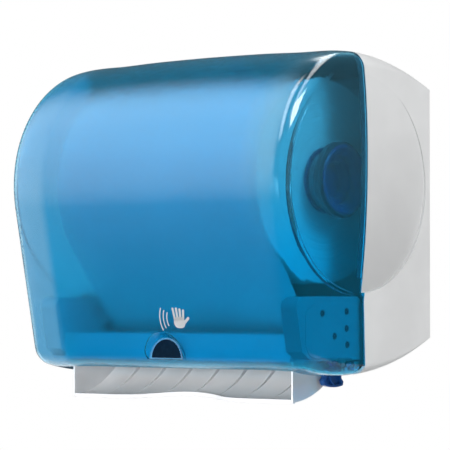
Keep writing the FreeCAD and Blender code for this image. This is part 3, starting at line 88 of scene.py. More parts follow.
# The case and its housing, in metres. Seen along X, the seam is an arc beside the roll, set back by
# SEAM_BOW for each square metre of rise, and a line below it that leans by SEAM_LEAN for each metre
CASE_CENTRE = (0.0, -0.110, 0.0)
DISH_AXIS = (-0.109, 0.028)
DISH_RADIUS = 0.102
# Heights over which the lower part of the side dish is painted darker as painted shade, strongest at the
# lower end
DISH_SHADE_RISE = (-0.070, 0.080)
# Range along Y over which the painted shade of the inner faces lightens to the back wall's grey
BACK_WALL = (-0.030, -0.016)
SHELL_HALF = 0.1690
SEAM_TOP = -0.0955
SEAM_BOW = -0.66
SEAM_FOOT = -0.1065
SEAM_LEAN = -0.03
SEAM_GAP = 0.0009

# Ranges along X or Z over which the look of the cover changes, in metres. The first four place paler tints
# that are painted light
PALE_LIT_END = (-0.121, -0.135)
PALE_LIT_RISE = (0.000, 0.100)
SIDE_LIT_END = (0.120, 0.155)
SIDE_LIT_RISE = (-0.050, 0.060)
CLEAR_END = (0.146, 0.168)
SHEEN_LEFT = (-0.136, -0.096)
SHEEN_RISE = (-0.050, 0.085)
SHEEN_FOOT = (-0.122, -0.080)

# The printed sign, from the upper right corner of the sensor window
SIGN_ASIDE = 8.0 * MM
SIGN_ABOVE = 10.5 * MM
PRINT_THICKNESS = 0.12 * MM

# The wound roll and its loose end. The gap at the edge of the last turn is in radians
ROLL_SIDES = 144
LOOSE_EDGE_DEG = 205.0
LOOSE_EDGE_GAP = 0.004
RINGS_PER_METRE = 900.0
WEB_HALF = 0.25 * MM
WRAP_STEPS = 12
SHEET_HALF = 0.12 * MM
SHEET_WAVE = 0.06 * MM
SHEET_MARGIN = 0.3 * MM
SHEET_LIFT = 0.45 * MM

# Springs, rollers, screws, cells and the flat chip. The tail, band and nose of a cell are shares of it
SPRING_TURNS = 4.0
SLEEVES = 5
SLEEVE_LENGTH = 36.0 * MM
FLUTE_DEPTH = 0.5 * MM
SCREW_HEAD = 3.2 * MM
PAN_HEIGHT = 2.0 * MM
SEAT_DEPTH = 0.6 * MM
CELLS = 4
CELL_TAIL = 0.03
CELL_BAND = 0.74
CELL_NOSE = 0.955
CHIP_HEIGHT = 2.0 * MM
CHIP_FRONT = -0.160
CHIP_FOOT = -0.112
CHIP_SIDE = 12.0 * MM
LEG_LIFT = 0.1 * MM

# Plastics and metals. EVEN gives a metal's lines no direction
PLASTIC_IOR = 1.5
COAT_ROUGHNESS = 0.05
MELT_DRIFT = 0.05
EVEN = (1.0, 1.0, 1.0)

# The camera of the photograph and the floor
CAMERA_SPOT = (1.6327, -2.0015, -0.0839)
CAMERA_AIM = (0.0099, -0.1100, -0.0078)
FLOOR_HALF = 1.7
FLOOR_FADE = (0.4, 1.6)

# Soft lamps: place, aim, width and height, watts, and whether reflections show the lamp
LAMPS = {
    "KeyRight": ((1.90, -0.34, 1.45), CASE_CENTRE, (0.8, 0.8), 33.0, True),
    "SoftLeft": ((-1.43, -1.10, 1.39), CASE_CENTRE, (1.7, 1.7), 11.0, False),
    "FrontFill": ((0.4, -2.0, -0.20), (0.0, -0.14, -0.10), (1.4, 0.4), 8.5, False),
    "ChuteFill": ((0.14, -1.3, -0.12), (0.0, -0.15, -0.165), (0.3, 0.35), 12.5, False),
}

# What reflections show of the room. Glows: direction, cosines where they start and are full, strength.
# Strips: directions of both ends, sine of the half width, strength
ROOM_DIM = 0.05
GLOWS = (
    ((-1.00, -0.05, 0.00), 0.700, 0.980, 0.25),
    ((-0.60, -0.62, 0.50), 0.580, 0.950, 3.70),
    ((-0.65, 0.66, 0.38), 0.700, 1.000, 0.09),
)
STRIPS = (
    ((-0.115, -0.164, 0.978), (0.271, -0.717, 0.643), 0.22, 11.0),
    ((-0.374, 0.535, 0.754), (0.648, -0.239, 0.719), 0.16, 9.0),
)
STRIP_CORE = 0.3
STRIP_FADE = 0.25


def colour_prop(name, description, value):
    return FloatVectorProperty(name=name, description=description, default=value, subtype="COLOR",
                               size=3, min=0.0, max=1.0)


def length_prop(name, description, value):
    return FloatProperty(name=name, description=description, default=value, unit="LENGTH", min=0.0)


def amount_prop(name, description, value, top=1.0):
    return FloatProperty(name=name, description=description, default=value, min=0.0, max=top)


def count_prop(name, description, value):
    return IntProperty(name=name, description=description, default=value, min=1)


# Settings
class CoverSettings(bpy.types.PropertyGroup):
    tint: colour_prop("Tint", "Colour of the see-through front cover", (0.012, 0.510, 0.790))
    # Painted light: the pale and side tints make the ends of the cover paler where they look lit and hazed
    pale_lit_tint: colour_prop("Pale tint", "Colour of the paler left end of the cover", (0.32, 0.63, 0.82))
    side_lit_tint: colour_prop("Side tint", "Colour of the right end of the cover, high up", (0.16, 0.52, 0.70))
    frost: amount_prop("Frost", "How much the front of the cover blurs what is behind it", 0.19)
    polish: amount_prop("Polish", "Roughness of the clearer ends of the cover", 0.09)
    clearness: amount_prop("Clearness", "Share of the light that passes the cover", 0.97)
    window: colour_prop("Window", "Colour of the sensor window", (0.002, 0.018, 0.042))
    sign: colour_prop("Sign", "Colour of the printed hand sign", (0.90, 0.92, 0.94))
    sign_size: length_prop("Sign size", "Height of the printed hand", 0.022)


class HousingSettings(bpy.types.PropertyGroup):
    shell: colour_prop("Shell", "Colour of the wall side shell", (0.80, 0.81, 0.815))
    # Painted shade: the inner faces are near black and the back wall's inner face mid grey, standing in for
    # the shade inside the white moulding
    inside: colour_prop("Inside", "Colour of the inner faces of the wall side shell", (0.045, 0.052, 0.062))
    back: colour_prop("Back", "Colour of the inner face of the back wall", (0.50, 0.52, 0.54))
    grain: length_prop("Grain", "Size of the spark eroded grain", 0.0009)


class RollSettings(bpy.types.PropertyGroup):
    paper: colour_prop("Paper", "Colour of the towel paper", (0.80, 0.80, 0.78))
    card: colour_prop("Card", "Colour of the cardboard core", (0.42, 0.31, 0.20))
    layers: count_prop("Layers", "Groups of turns that show on the ends of the roll", 56)
    ragged: length_prop("Ragged", "How far turns stand back at the ends of the roll", 0.0003)
    ply: length_prop("Ply", "Step at the loose edge of the last turn", 0.0005)


class InsideSettings(bpy.types.PropertyGroup):
    frame: colour_prop("Frame", "Colour of the feed frame and the control box", (0.72, 0.75, 0.76))
    gearbox: colour_prop("Gear box", "Colour of the gear box", (0.32, 0.34, 0.34))
    # Painted shade: the carrier is near black so that it shows as the dark shadowed slot above the front bar
    carrier: colour_prop("Carrier", "Colour of the pinch roller's carrier", (0.030, 0.036, 0.045))
    arms: colour_prop("Arms", "Colour of the arms beside the roll", (0.060, 0.068, 0.080))
    chute: colour_prop("Chute", "Colour of the towel chute", (0.72, 0.72, 0.73))
    # Partly painted shade: the hubs are darker than their own blue, standing in for the housing's shade over
    # them
    hub: colour_prop("Hubs", "Colour of the roll holders", (0.002, 0.040, 0.150))
    lever: colour_prop("Lever", "Colour of the release lever", (0.016, 0.110, 0.380))
    flutes: count_prop("Flutes", "Grooves round each rubber sleeve", 40)
    legs: count_prop("Legs", "Legs along one side of a chip", 8)


class StageSettings(bpy.types.PropertyGroup):
    lens: FloatProperty(name="Lens", description="Focal length of the camera in millimetres", default=205.5,
                        min=1.0, unit="CAMERA")
    floor_drop: length_prop("Floor drop", "How far the floor lies under the object", 0.40)
    ambient: amount_prop("Ambient", "Strength of the even light from all round", 0.24, 4.0)


# Node helpers
def add(tree, kind, **values):
    node = tree.nodes.new(kind)
    for key, value in values.items():
        setattr(node, key, value)
    return node


def feed(tree, source, node, socket):
    """Connect an output, or set a plain value."""
    target = node.inputs[socket]
    if isinstance(source, bpy.types.NodeSocket):
        tree.links.new(source, target)
    else:
        target.default_value = source


def rgba(colour):
    return (colour[0], colour[1], colour[2], 1.0)


def as_input(colour):
    """A plain colour as four numbers, and an output as it is."""
    return colour if isinstance(colour, bpy.types.NodeSocket) else rgba(colour)


def scaled(colour, share):
    return tuple(min(1.0, channel * share) for channel in colour)


def shade_of(colour):
    """What one face of a wall takes from a lamp's light, when the whole wall takes colour."""
    return tuple(math.sqrt(channel) for channel in colour)


def compute(tree, kind, first, second=0.0):
    """One step of arithmetic on two values."""
    node = add(tree, "ShaderNodeMath", operation=kind)
    feed(tree, first, node, 0)
    feed(tree, second, node, 1)
    return node.outputs[0]


def ramp(tree, value, low, high, to_low=0.0, to_high=1.0, smooth=False):
    """Map a value from one range to another, held at its ends."""
    node = add(tree, "ShaderNodeMapRange", interpolation_type="SMOOTHSTEP" if smooth else "LINEAR")
    feed(tree, value, node, "Value")
    for socket, number in (("From Min", low), ("From Max", high), ("To Min", to_low), ("To Max", to_high)):
        node.inputs[socket].default_value = number
    return node.outputs["Result"]


def dot(tree, first, second):
    node = add(tree, "ShaderNodeVectorMath", operation="DOT_PRODUCT")
    feed(tree, first, node, 0)
    feed(tree, second, node, 1)
    return node.outputs["Value"]


def mix_shaders(tree, share, first, second):
    """The first shader where share is 0, and the second where it is 1."""
    node = add(tree, "ShaderNodeMixShader")
    for socket, source in enumerate((share, first, second)):
        tree.links.new(source, node.inputs[socket])
    return node.outputs[0]


class Finish:
    """A procedural material under construction, with its pattern on object coordinates."""

    def __init__(self, name, roughness=0.4, metal=0.0, coat=0.0, clear=0.0):
        self.material = bpy.data.materials.new(name)
        self.material.use_nodes = True
        self.tree = self.material.node_tree
        self.tree.nodes.clear()
        self.out = add(self.tree, "ShaderNodeOutputMaterial")
        self.shader = add(self.tree, "ShaderNodeBsdfPrincipled")
        self.surface(self.shader.outputs["BSDF"])
        self.place = add(self.tree, "ShaderNodeTexCoord").outputs["Object"]
        for socket, value in (("Roughness", roughness), ("Metallic", metal), ("Coat Weight", coat),
                              ("Coat Roughness", COAT_ROUGHNESS), ("Transmission Weight", clear),
                              ("IOR", PLASTIC_IOR)):
            self.shader.inputs[socket].default_value = value

    def surface(self, shader):
        self.tree.links.new(shader, self.out.inputs["Surface"])

    def stretched(self, scale):
        """Object coordinates with their own scale on each axis."""
        mapping = add(self.tree, "ShaderNodeMapping", vector_type="POINT")
        self.tree.links.new(self.place, mapping.inputs["Vector"])
        mapping.inputs["Scale"].default_value = scale
        return mapping.outputs["Vector"]

    def noise(self, size, detail=3.0, rough=0.5, place=None):
        """Noise whose features are about size metres."""
        noise = add(self.tree, "ShaderNodeTexNoise", noise_dimensions="3D")
        feed(self.tree, place if place is not None else self.place, noise, "Vector")
        noise.inputs["Scale"].default_value = 1.0 / size
        noise.inputs["Detail"].default_value = detail
        noise.inputs["Roughness"].default_value = rough
        return noise.outputs["Fac"]

    def math(self, kind, first, second=0.0):
        return compute(self.tree, kind, first, second)

    def spread(self, value, low, high, to_low=0.0, to_high=1.0, smooth=False):
        return ramp(self.tree, value, low, high, to_low, to_high, smooth)

    def mix(self, share, first, second):
        node = add(self.tree, "ShaderNodeMix", data_type="RGBA")
        feed(self.tree, share, node, 0)
        feed(self.tree, as_input(first), node, 6)
        feed(self.tree, as_input(second), node, 7)
        return node.outputs[2]

    def axes(self):
        split = add(self.tree, "ShaderNodeSeparateXYZ")
        self.tree.links.new(self.place, split.inputs[0])
        return split.outputs[0], split.outputs[1], split.outputs[2]

    def radius_about(self, centre):
        """Distance from a line along X through centre, a (Y, Z) pair."""
        _, y, z = self.axes()
        sides = [self.math("SUBTRACT", y, centre[0]), self.math("SUBTRACT", z, centre[1])]
        squares = [self.math("MULTIPLY", side, side) for side in sides]
        return self.math("SQRT", self.math("ADD", *squares))

    def facing_inwards(self, centre, side):
        """1 on faces that look towards centre. Past side along X, only a look along X counts."""
        x, y, z = self.axes()
        middle = self.math("LESS_THAN", self.math("ABSOLUTE", x), side)
        away = add(self.tree, "ShaderNodeCombineXYZ")
        feed(self.tree, x, away, 0)
        feed(self.tree, self.math("MULTIPLY", self.math("SUBTRACT", y, centre[1]), middle), away, 1)
        feed(self.tree, self.math("MULTIPLY", self.math("SUBTRACT", z, centre[2]), middle), away, 2)
        normal = add(self.tree, "ShaderNodeNewGeometry").outputs["True Normal"]
        return self.math("LESS_THAN", dot(self.tree, away.outputs[0], normal), -0.02)

    def colour(self, value):
        feed(self.tree, as_input(value), self.shader, "Base Color")

    def rough(self, value):
        feed(self.tree, value, self.shader, "Roughness")

    def relief(self, height, depth, edge=0.0):
        """Bump of a 0 to 1 height that stands for depth metres, over edges rounded by edge metres."""
        bump = add(self.tree, "ShaderNodeBump")
        bump.inputs["Distance"].default_value = depth
        feed(self.tree, height, bump, "Height")
        if edge:
            rounded = add(self.tree, "ShaderNodeBevel", samples=4)
            rounded.inputs["Radius"].default_value = edge
            self.tree.links.new(rounded.outputs["Normal"], bump.inputs["Normal"])
        self.tree.links.new(bump.outputs["Normal"], self.shader.inputs["Normal"])

    def let_lamps_through(self, colour):
        """Lamps shine through a see-through wall, tinted by colour on each of its two faces."""
        clear = add(self.tree, "ShaderNodeBsdfTransparent")
        feed(self.tree, as_input(colour), clear, "Color")
        shadow = add(self.tree, "ShaderNodeLightPath").outputs["Is Shadow Ray"]
        self.surface(mix_shaders(self.tree, shadow, self.shader.outputs["BSDF"], clear.outputs["BSDF"]))


# Finishes
def moulded(name, colour, roughness=0.42, grain=0.0008, depth=0.00004, coat=0.0):
    """Injection moulded plastic: fine grain, and a faint drift of colour and gloss as the melt flowed."""
    finish = Finish(name, roughness, coat=coat)
    drift = finish.noise(MELT_DRIFT, 2.0)
    finish.colour(finish.mix(finish.spread(drift, 0.35, 0.65), scaled(colour, 0.955), scaled(colour, 1.03)))
    fine = finish.noise(grain, 2.0, 0.6)
    finish.rough(finish.spread(finish.math("ADD", drift, fine), 0.7, 1.3, roughness - 0.05, roughness + 0.06))
    finish.relief(fine, depth, edge=0.0006)
    return finish.material


def polished(name, colour, roughness):
    """Moulded plastic with a glossy skin, for parts that hands touch."""
    return moulded(name, colour, roughness, grain=0.0009, depth=0.00003, coat=0.2)


def turned_metal(name, colour=(0.55, 0.56, 0.58), roughness=0.28, across=(12.0, 1.0, 1.0)):
    """Drawn or turned metal with fine lines across the axis that across names."""
    finish = Finish(name, roughness, metal=1.0)
    lines = finish.noise(0.004, 4.0, 0.6, finish.stretched(across))
    finish.colour(finish.mix(finish.spread(lines, 0.3, 0.7), scaled(colour, 0.86), colour))
    finish.rough(finish.spread(lines, 0.3, 0.7, roughness - 0.06, roughness + 0.10))
    finish.relief(lines, 0.00001, edge=0.0002)
    return finish.material


def cover_zones(finish):
    """Shares of the painted light on the cover: a paler tint over the left end, less of it high up, and a
    greyer, paler tint high on the right end.
    """
    x, _, z = finish.axes()
    pale = finish.math("MULTIPLY", finish.spread(x, *PALE_LIT_END, smooth=True),
                       finish.spread(z, *PALE_LIT_RISE, 1.0, 0.30, smooth=True))
    side = finish.math("MULTIPLY", finish.spread(x, *SIDE_LIT_END, smooth=True),
                       finish.spread(z, *SIDE_LIT_RISE, smooth=True))
    return pale, side


def cover_sheen(finish):
    """Gloss that fades down the front and towards the left end, and comes back at the foot."""
    x, _, z = finish.axes()
    front = finish.spread(z, *SHEEN_RISE, 0.02, 0.97)
    foot = finish.spread(z, *SHEEN_FOOT, 1.0, 0.0)
    level = finish.spread(x, *SHEEN_LEFT, 0.02, 0.55, smooth=True)
    sheen = finish.math("MULTIPLY", level, finish.math("ADD", front, foot))
    feed(finish.tree, sheen, finish.shader, "Specular IOR Level")


def cover_plastic(settings):
    """Tinted polycarbonate, frosted by a fine texture that leaves its two ends clearer, with paler tints at
    its ends that are painted light.
    """
    finish = Finish("CoverPlastic", settings.frost, clear=settings.clearness)
    drift = finish.noise(0.12, 2.0)
    pale, side = cover_zones(finish)
    deep = finish.mix(finish.spread(drift, 0.3, 0.7), scaled(settings.tint, 0.94), settings.tint)
    # Painted light: paler tints over the left end and high on the right end
    both = finish.mix(side, deep, settings.side_lit_tint)
    finish.colour(finish.mix(pale, both, settings.pale_lit_tint))
    x, _, _ = finish.axes()
    end = finish.spread(finish.math("ABSOLUTE", x), *CLEAR_END, smooth=True)
    frost = finish.spread(drift, 0.3, 0.7, settings.frost - 0.01, settings.frost + 0.01)
    finish.rough(finish.math("ADD", finish.math("MULTIPLY", frost, finish.math("SUBTRACT", 1.0, end)),
                             finish.math("MULTIPLY", end, settings.polish)))
    cover_sheen(finish)
    finish.relief(finish.noise(0.030, 2.0), 0.00002)
    shade = finish.mix(side, shade_of(settings.tint), shade_of(settings.side_lit_tint))
    finish.let_lamps_through(finish.mix(pale, shade, shade_of(settings.pale_lit_tint)))
    return finish.material


def window_plastic(settings):
    """Dark plastic that lets only the sensor's own light through, with a soft polish."""
    finish = Finish("WindowPlastic", 0.26)
    finish.shader.inputs["Specular IOR Level"].default_value = 0.02
    swirl = finish.noise(0.006, 2.0)
    finish.colour(finish.mix(swirl, scaled(settings.window, 0.8), scaled(settings.window, 1.25)))
    finish.rough(finish.spread(swirl, 0.3, 0.7, 0.22, 0.30))
    finish.relief(swirl, 0.00002, edge=0.0004)
    return finish.material


def ahead_of_seam(finish):
    """1 on the lip ahead of the housing's seam, an arc beside the roll and a leaning line below it."""
    _, y, z = finish.axes()
    rise = finish.math("SUBTRACT", z, ROLL_AXIS[1])
    arc = finish.math("ADD", finish.math("MULTIPLY", finish.math("MULTIPLY", rise, rise), SEAM_BOW), SEAM_TOP)
    line = finish.math("ADD", finish.math("MULTIPLY", z, SEAM_LEAN), SEAM_FOOT)
    seam = finish.math("SUBTRACT", finish.math("MAXIMUM", arc, line), SEAM_GAP)
    return finish.math("LESS_THAN", y, seam)


def housing_plastic(settings):
    """White moulding outside. Its inner faces and the lip that enters the cover are painted dark as shade,
    and the lower part of the side dish is painted darker as shade.
    """
    finish = Finish("HousingPlastic", 0.40)
    drift = finish.noise(MELT_DRIFT, 2.0)
    white = finish.mix(finish.spread(drift, 0.35, 0.65), scaled(settings.shell, 0.97),
                       scaled(settings.shell, 1.02))
    x, y, z = finish.axes()
    inside = finish.mix(finish.spread(y, *BACK_WALL, smooth=True), settings.inside, settings.back)
    # Painted shade: the inner faces and the lip inside the cover take the dark inside colour, paler towards
    # the back wall
    painted_shade_faces = finish.math("MAXIMUM", ahead_of_seam(finish), finish.facing_inwards(CASE_CENTRE, SHELL_HALF))
    dish = finish.math("MULTIPLY", finish.math("LESS_THAN", finish.radius_about(DISH_AXIS), DISH_RADIUS),
                       finish.math("GREATER_THAN", finish.math("ABSOLUTE", x), SHELL_HALF))
    # Painted shade: the side dish darkens towards its bottom
    dish_shade = finish.math("MULTIPLY", dish, finish.spread(z, *DISH_SHADE_RISE, 0.36, 0.02))
    outside = finish.mix(dish_shade, white, scaled(settings.shell, 0.25))
    finish.colour(finish.mix(painted_shade_faces, outside, inside))
    fine = finish.noise(settings.grain, 2.0, 0.6)
    finish.rough(finish.spread(finish.math("ADD", drift, fine), 0.7, 1.3, 0.36, 0.47))
    finish.relief(fine, 0.00004, edge=0.0008)
    return finish.material


def roll_paper(settings):
    """Wound tissue: rings on the ends, crepe lines along the width on the outside."""
    finish = Finish("TowelPaper", 0.92)
    ring = add(finish.tree, "ShaderNodeTexNoise", noise_dimensions="1D")
    feed(finish.tree, finish.math("MULTIPLY", finish.radius_about(ROLL_AXIS), RINGS_PER_METRE), ring, "W")
    ring.inputs["Scale"].default_value = 1.0
    ring.inputs["Detail"].default_value = 2.0
    rings = ring.outputs["Fac"]
    crepe = finish.noise(0.0035, 3.0, 0.6, finish.stretched((0.25, 2.0, 2.0)))
    shade = finish.spread(finish.math("MULTIPLY", rings, crepe), 0.1, 0.4)
    finish.colour(finish.mix(shade, scaled(settings.paper, 0.90), settings.paper))
    finish.relief(finish.math("ADD", rings, crepe), 0.00025)
    return finish.material


def core_card(settings):
    finish = Finish("CoreCard", 0.85)
    fibre = finish.noise(0.004, 4.0, 0.65, finish.stretched((0.4, 2.0, 2.0)))
    card = settings.card
    finish.colour(finish.mix(fibre, scaled(card, 0.75), scaled(card, 1.15)))
    finish.relief(fibre, 0.0001)
    return finish.material


def sleeve_rubber():
    finish = Finish("RollerRubber", 0.75)
    skin = finish.noise(0.0012, 2.0)
    finish.colour(finish.mix(skin, (0.018, 0.018, 0.020), (0.040, 0.040, 0.042)))
    finish.relief(skin, 0.0001)
    return finish.material


def board_laminate():
    """Green solder mask over a woven laminate, with paler tracks."""
    finish = Finish("BoardLaminate", 0.35, coat=0.3)
    weave = finish.noise(0.0012, 1.0)
    tracks = finish.noise(0.006, 0.0, 0.5, finish.stretched((1.0, 0.3, 2.4)))
    track = finish.spread(finish.math("ABSOLUTE", finish.math("SUBTRACT", tracks, 0.5)), 0.018, 0.026)
    mask = finish.mix(weave, (0.006, 0.080, 0.030), (0.010, 0.120, 0.045))
    finish.colour(finish.mix(track, (0.030, 0.210, 0.085), mask))
    finish.relief(finish.math("ADD", finish.math("MULTIPLY", track, -1.0), weave), 0.00003)
    return finish.material


def cell_wrap():
    """Dark sleeve with a band round each cell, and bare metal at both of its ends."""
    low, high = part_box("battery_cells")
    length = (high.x - low.x) / CELLS
    finish = Finish("CellWrap", 0.25, coat=0.3)
    x, _, _ = finish.axes()
    along = finish.math("FRACT", finish.math("DIVIDE", finish.math("SUBTRACT", x, low.x - 0.0001), length))
    tail = finish.math("LESS_THAN", along, CELL_TAIL)
    nose = finish.math("GREATER_THAN", along, CELL_NOSE)
    bare = finish.math("MAXIMUM", tail, nose)
    sleeve = finish.mix(finish.noise(0.01, 3.0), (0.018, 0.018, 0.020), (0.034, 0.034, 0.038))
    wrap = finish.mix(finish.math("GREATER_THAN", along, CELL_BAND), sleeve, (0.42, 0.24, 0.05))
    finish.colour(finish.mix(bare, wrap, (0.52, 0.53, 0.55)))
    feed(finish.tree, bare, finish.shader, "Metallic")
    finish.relief(finish.math("MULTIPLY", bare, -1.0), 0.0002)
    return finish.material


def lamp_lens():
    finish = Finish("LampLens", 0.15, clear=0.5)
    glow = finish.noise(0.002, 1.0)
    finish.colour(finish.mix(glow, (0.50, 0.01, 0.01), (0.62, 0.02, 0.02)))
    return finish.material


def sign_ink(settings):
    finish = Finish("SignInk", 0.5)
    screen = finish.noise(0.0004, 1.0)
    sign = settings.sign
    finish.colour(finish.mix(screen, scaled(sign, 0.92), sign))
    finish.relief(screen, 0.00002)
    return finish.material


# Patterns made by geometry nodes
class Pattern:
    """A geometry node tree with named sizes, whose result becomes a plain mesh."""

    def __init__(self, name, **sizes):
        self.name = name
        self.sizes = sizes
        self.tree = bpy.data.node_groups.new(name, "GeometryNodeTree")
        face = self.tree.interface
        face.new_socket("Geometry", in_out="OUTPUT", socket_type="NodeSocketGeometry")
        face.new_socket("Geometry", in_out="INPUT", socket_type="NodeSocketGeometry")
        kinds = {int: "NodeSocketInt", float: "NodeSocketFloat", tuple: "NodeSocketVector"}
        self.keys = {}
        for label, value in sizes.items():
            socket = face.new_socket(label, in_out="INPUT", socket_type=kinds[type(value)])
            self.keys[label] = socket.identifier
        self.source = add(self.tree, "NodeGroupInput")
        self.result = add(self.tree, "NodeGroupOutput")

    def size(self, label):
        return self.source.outputs[label]

    def step(self, kind, feeds, output=0, **settings):
        """Add a node, feed its inputs and give one of its outputs."""
        node = add(self.tree, kind, **settings)
        for socket, value in feeds.items():
            feed(self.tree, value, node, socket)
        return node.outputs[output]

    def along_x(self, value):
        return self.step("ShaderNodeCombineXYZ", {"X": value})

    def row(self, count, start, offset):
        return self.step("GeometryNodeMeshLine", {"Count": count, "Start Location": start, "Offset": offset})

    def copies(self, points, shape, turn=None):
        feeds = {"Points": points, "Instance": shape}
        if turn is not None:
            feeds["Rotation"] = turn
        return self.step("GeometryNodeInstanceOnPoints", feeds)

    def joined(self, *shapes):
        node = add(self.tree, "GeometryNodeJoinGeometry")
        for shape in shapes:
            self.tree.links.new(shape, node.inputs[0])
        return node.outputs[0]

    def mesh(self, geometry, material, points=((0.0, 0.0, 0.0),)):
        """Evaluate the tree over loose points and keep the result as a plain mesh."""
        whole = self.step("GeometryNodeRealizeInstances", {"Geometry": geometry})
        dressed = self.step("GeometryNodeSetMaterial", {"Geometry": whole, "Material": material})
        feed(self.tree, dressed, self.result, 0)
        base = bpy.data.meshes.new(self.name + "Base")
        base.from_pydata(points, [], [])
        carrier = bpy.data.objects.new(self.name + "Base", base)
        bpy.context.scene.collection.objects.link(carrier)
        modifier = carrier.modifiers.new("Pattern", "NODES")
        modifier.node_group = self.tree
        for label, value in self.sizes.items():
            modifier[self.keys[label]] = value
        bpy.context.view_layer.update()
        shown = carrier.evaluated_get(bpy.context.evaluated_depsgraph_get())
        mesh = bpy.data.meshes.new_from_object(shown)
        mesh.name = self.name
        carrier.modifiers.clear()
        bpy.data.objects.remove(carrier)
        return mesh


def spring_mesh(name, material, node, wire, taper):
    """A compression spring along X in the space of a CAD node."""
    low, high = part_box(node)
    radius = (high.z - low.z) / 2 - wire
    pattern = Pattern(name, turns=SPRING_TURNS, radius=radius, end_radius=radius * taper, wire=wire,
                      length=high.x - low.x - 2 * wire,
                      place=(low.x + wire, (low.y + high.y) / 2, (low.z + high.z) / 2))
    helix = pattern.step("GeometryNodeCurveSpiral", {
        "Resolution": 40, "Rotations": pattern.size("turns"), "Start Radius": pattern.size("radius"),
        "End Radius": pattern.size("end_radius"), "Height": pattern.size("length")})
    section = pattern.step("GeometryNodeCurvePrimitiveCircle", {
        "Resolution": 12, "Radius": pattern.size("wire")})
    coil = pattern.step("GeometryNodeCurveToMesh", {
        "Curve": helix, "Profile Curve": section, "Fill Caps": True})
    laid = pattern.step("GeometryNodeTransform", {
        "Geometry": coil, "Translation": pattern.size("place"), "Rotation": (0.0, math.pi / 2, 0.0)})
    return pattern.mesh(laid, material)


def fluted_sleeves_mesh(name, material, node, flutes):
    """Rubber sleeves along a shaft, each with grooves that grip the paper."""
    low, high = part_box(node)
    pattern = Pattern(name, flutes=flutes, radius=(high.z - low.z) / 2, groove=FLUTE_DEPTH,
                      length=SLEEVE_LENGTH, count=SLEEVES,
                      pitch=(high.x - low.x - SLEEVE_LENGTH) / (SLEEVES - 1),
                      place=(low.x, (low.y + high.y) / 2, (low.z + high.z) / 2))
    inner = pattern.step("ShaderNodeMath", {0: pattern.size("radius"), 1: pattern.size("groove")},
                         operation="SUBTRACT")
    star = pattern.step("GeometryNodeCurveStar", {
        "Points": pattern.size("flutes"), "Inner Radius": inner, "Outer Radius": pattern.size("radius")})
    line = pattern.step("GeometryNodeCurvePrimitiveLine", {
        "Start": (0.0, 0.0, 0.0), "End": pattern.along_x(pattern.size("length"))})
    sleeve = pattern.step("GeometryNodeCurveToMesh", {
        "Curve": line, "Profile Curve": star, "Fill Caps": True})
    row = pattern.row(pattern.size("count"), pattern.size("place"), pattern.along_x(pattern.size("pitch")))
    return pattern.mesh(pattern.copies(row, sleeve), material)


def screw_mesh(height, shank, length, axis):
    """A pan head screw with a cross recess, its shank along minus axis."""
    sides = 40
    bm = bmesh.new()

    def ring(share, z):
        turns = [math.tau * i / sides for i in range(sides)]
        reach = SCREW_HEAD * share
        return [bm.verts.new((reach * math.cos(turn), reach * math.sin(turn), z)) for turn in turns]

    profile = ((shank / SCREW_HEAD, -length), (shank / SCREW_HEAD, 0.0), (0.94, 0.0), (1.0, height * 0.10),
               (1.0, height * 0.46), (0.94, height * 0.74), (0.80, height * 0.92), (0.64, height))
    rings = [ring(share, z) for share, z in profile]
    bm.faces.new(list(reversed(rings[0])))
    for first, second in zip(rings, rings[1:]):
        bridge(bm, first, second)
    arm = 0.13 * SCREW_HEAD
    reach = 0.50 * SCREW_HEAD
    depth = 0.55 * height
    narrowing = 0.72
    cross = [(reach, -arm), (reach, arm), (arm, arm), (arm, reach), (-arm, reach), (-arm, arm), (-reach, arm),
             (-reach, -arm), (-arm, -arm), (-arm, -reach), (arm, -reach), (arm, -arm)]
    mouth = [bm.verts.new((x, y, height)) for x, y in cross]
    floor = [bm.verts.new((x * narrowing, y * narrowing, height - depth)) for x, y in cross]
    edges = [bm.edges.new((mouth[i], mouth[(i + 1) % len(mouth)])) for i in range(len(mouth))]
    edges += [bm.edges.get((rings[-1][i], rings[-1][(i + 1) % sides])) for i in range(sides)]
    bmesh.ops.triangle_fill(bm, edges=edges, use_beauty=True)
    bridge(bm, mouth, floor)
    bm.faces.new(floor)
    bmesh.ops.recalc_face_normals(bm, faces=bm.faces)
    turn = Vector((0, 0, 1)).rotation_difference(Vector(axis)).to_matrix().to_4x4()
    bmesh.ops.transform(bm, matrix=turn, verts=bm.verts)
    return plain_mesh(bm, "Screw")


def screws_mesh(name, material, screw, places, axis, seed):
    """Screws at their places, each stopped at a turn of its own."""
    pattern = Pattern(name, seed=seed)
    master = bpy.data.objects.new(name + "Screw", screw)
    shape = pattern.step("GeometryNodeObjectInfo", {"Object": master}, output="Geometry")
    most = tuple(part * math.tau for part in axis)
    turn = pattern.step("FunctionNodeRandomValue", {
        "Min": (0.0, 0.0, 0.0), "Max": most, "Seed": pattern.size("seed")}, data_type="FLOAT_VECTOR")
    points = pattern.source.outputs["Geometry"]
    mesh = pattern.mesh(pattern.copies(points, shape, turn), material, places)
    bpy.data.objects.remove(master)
    return mesh


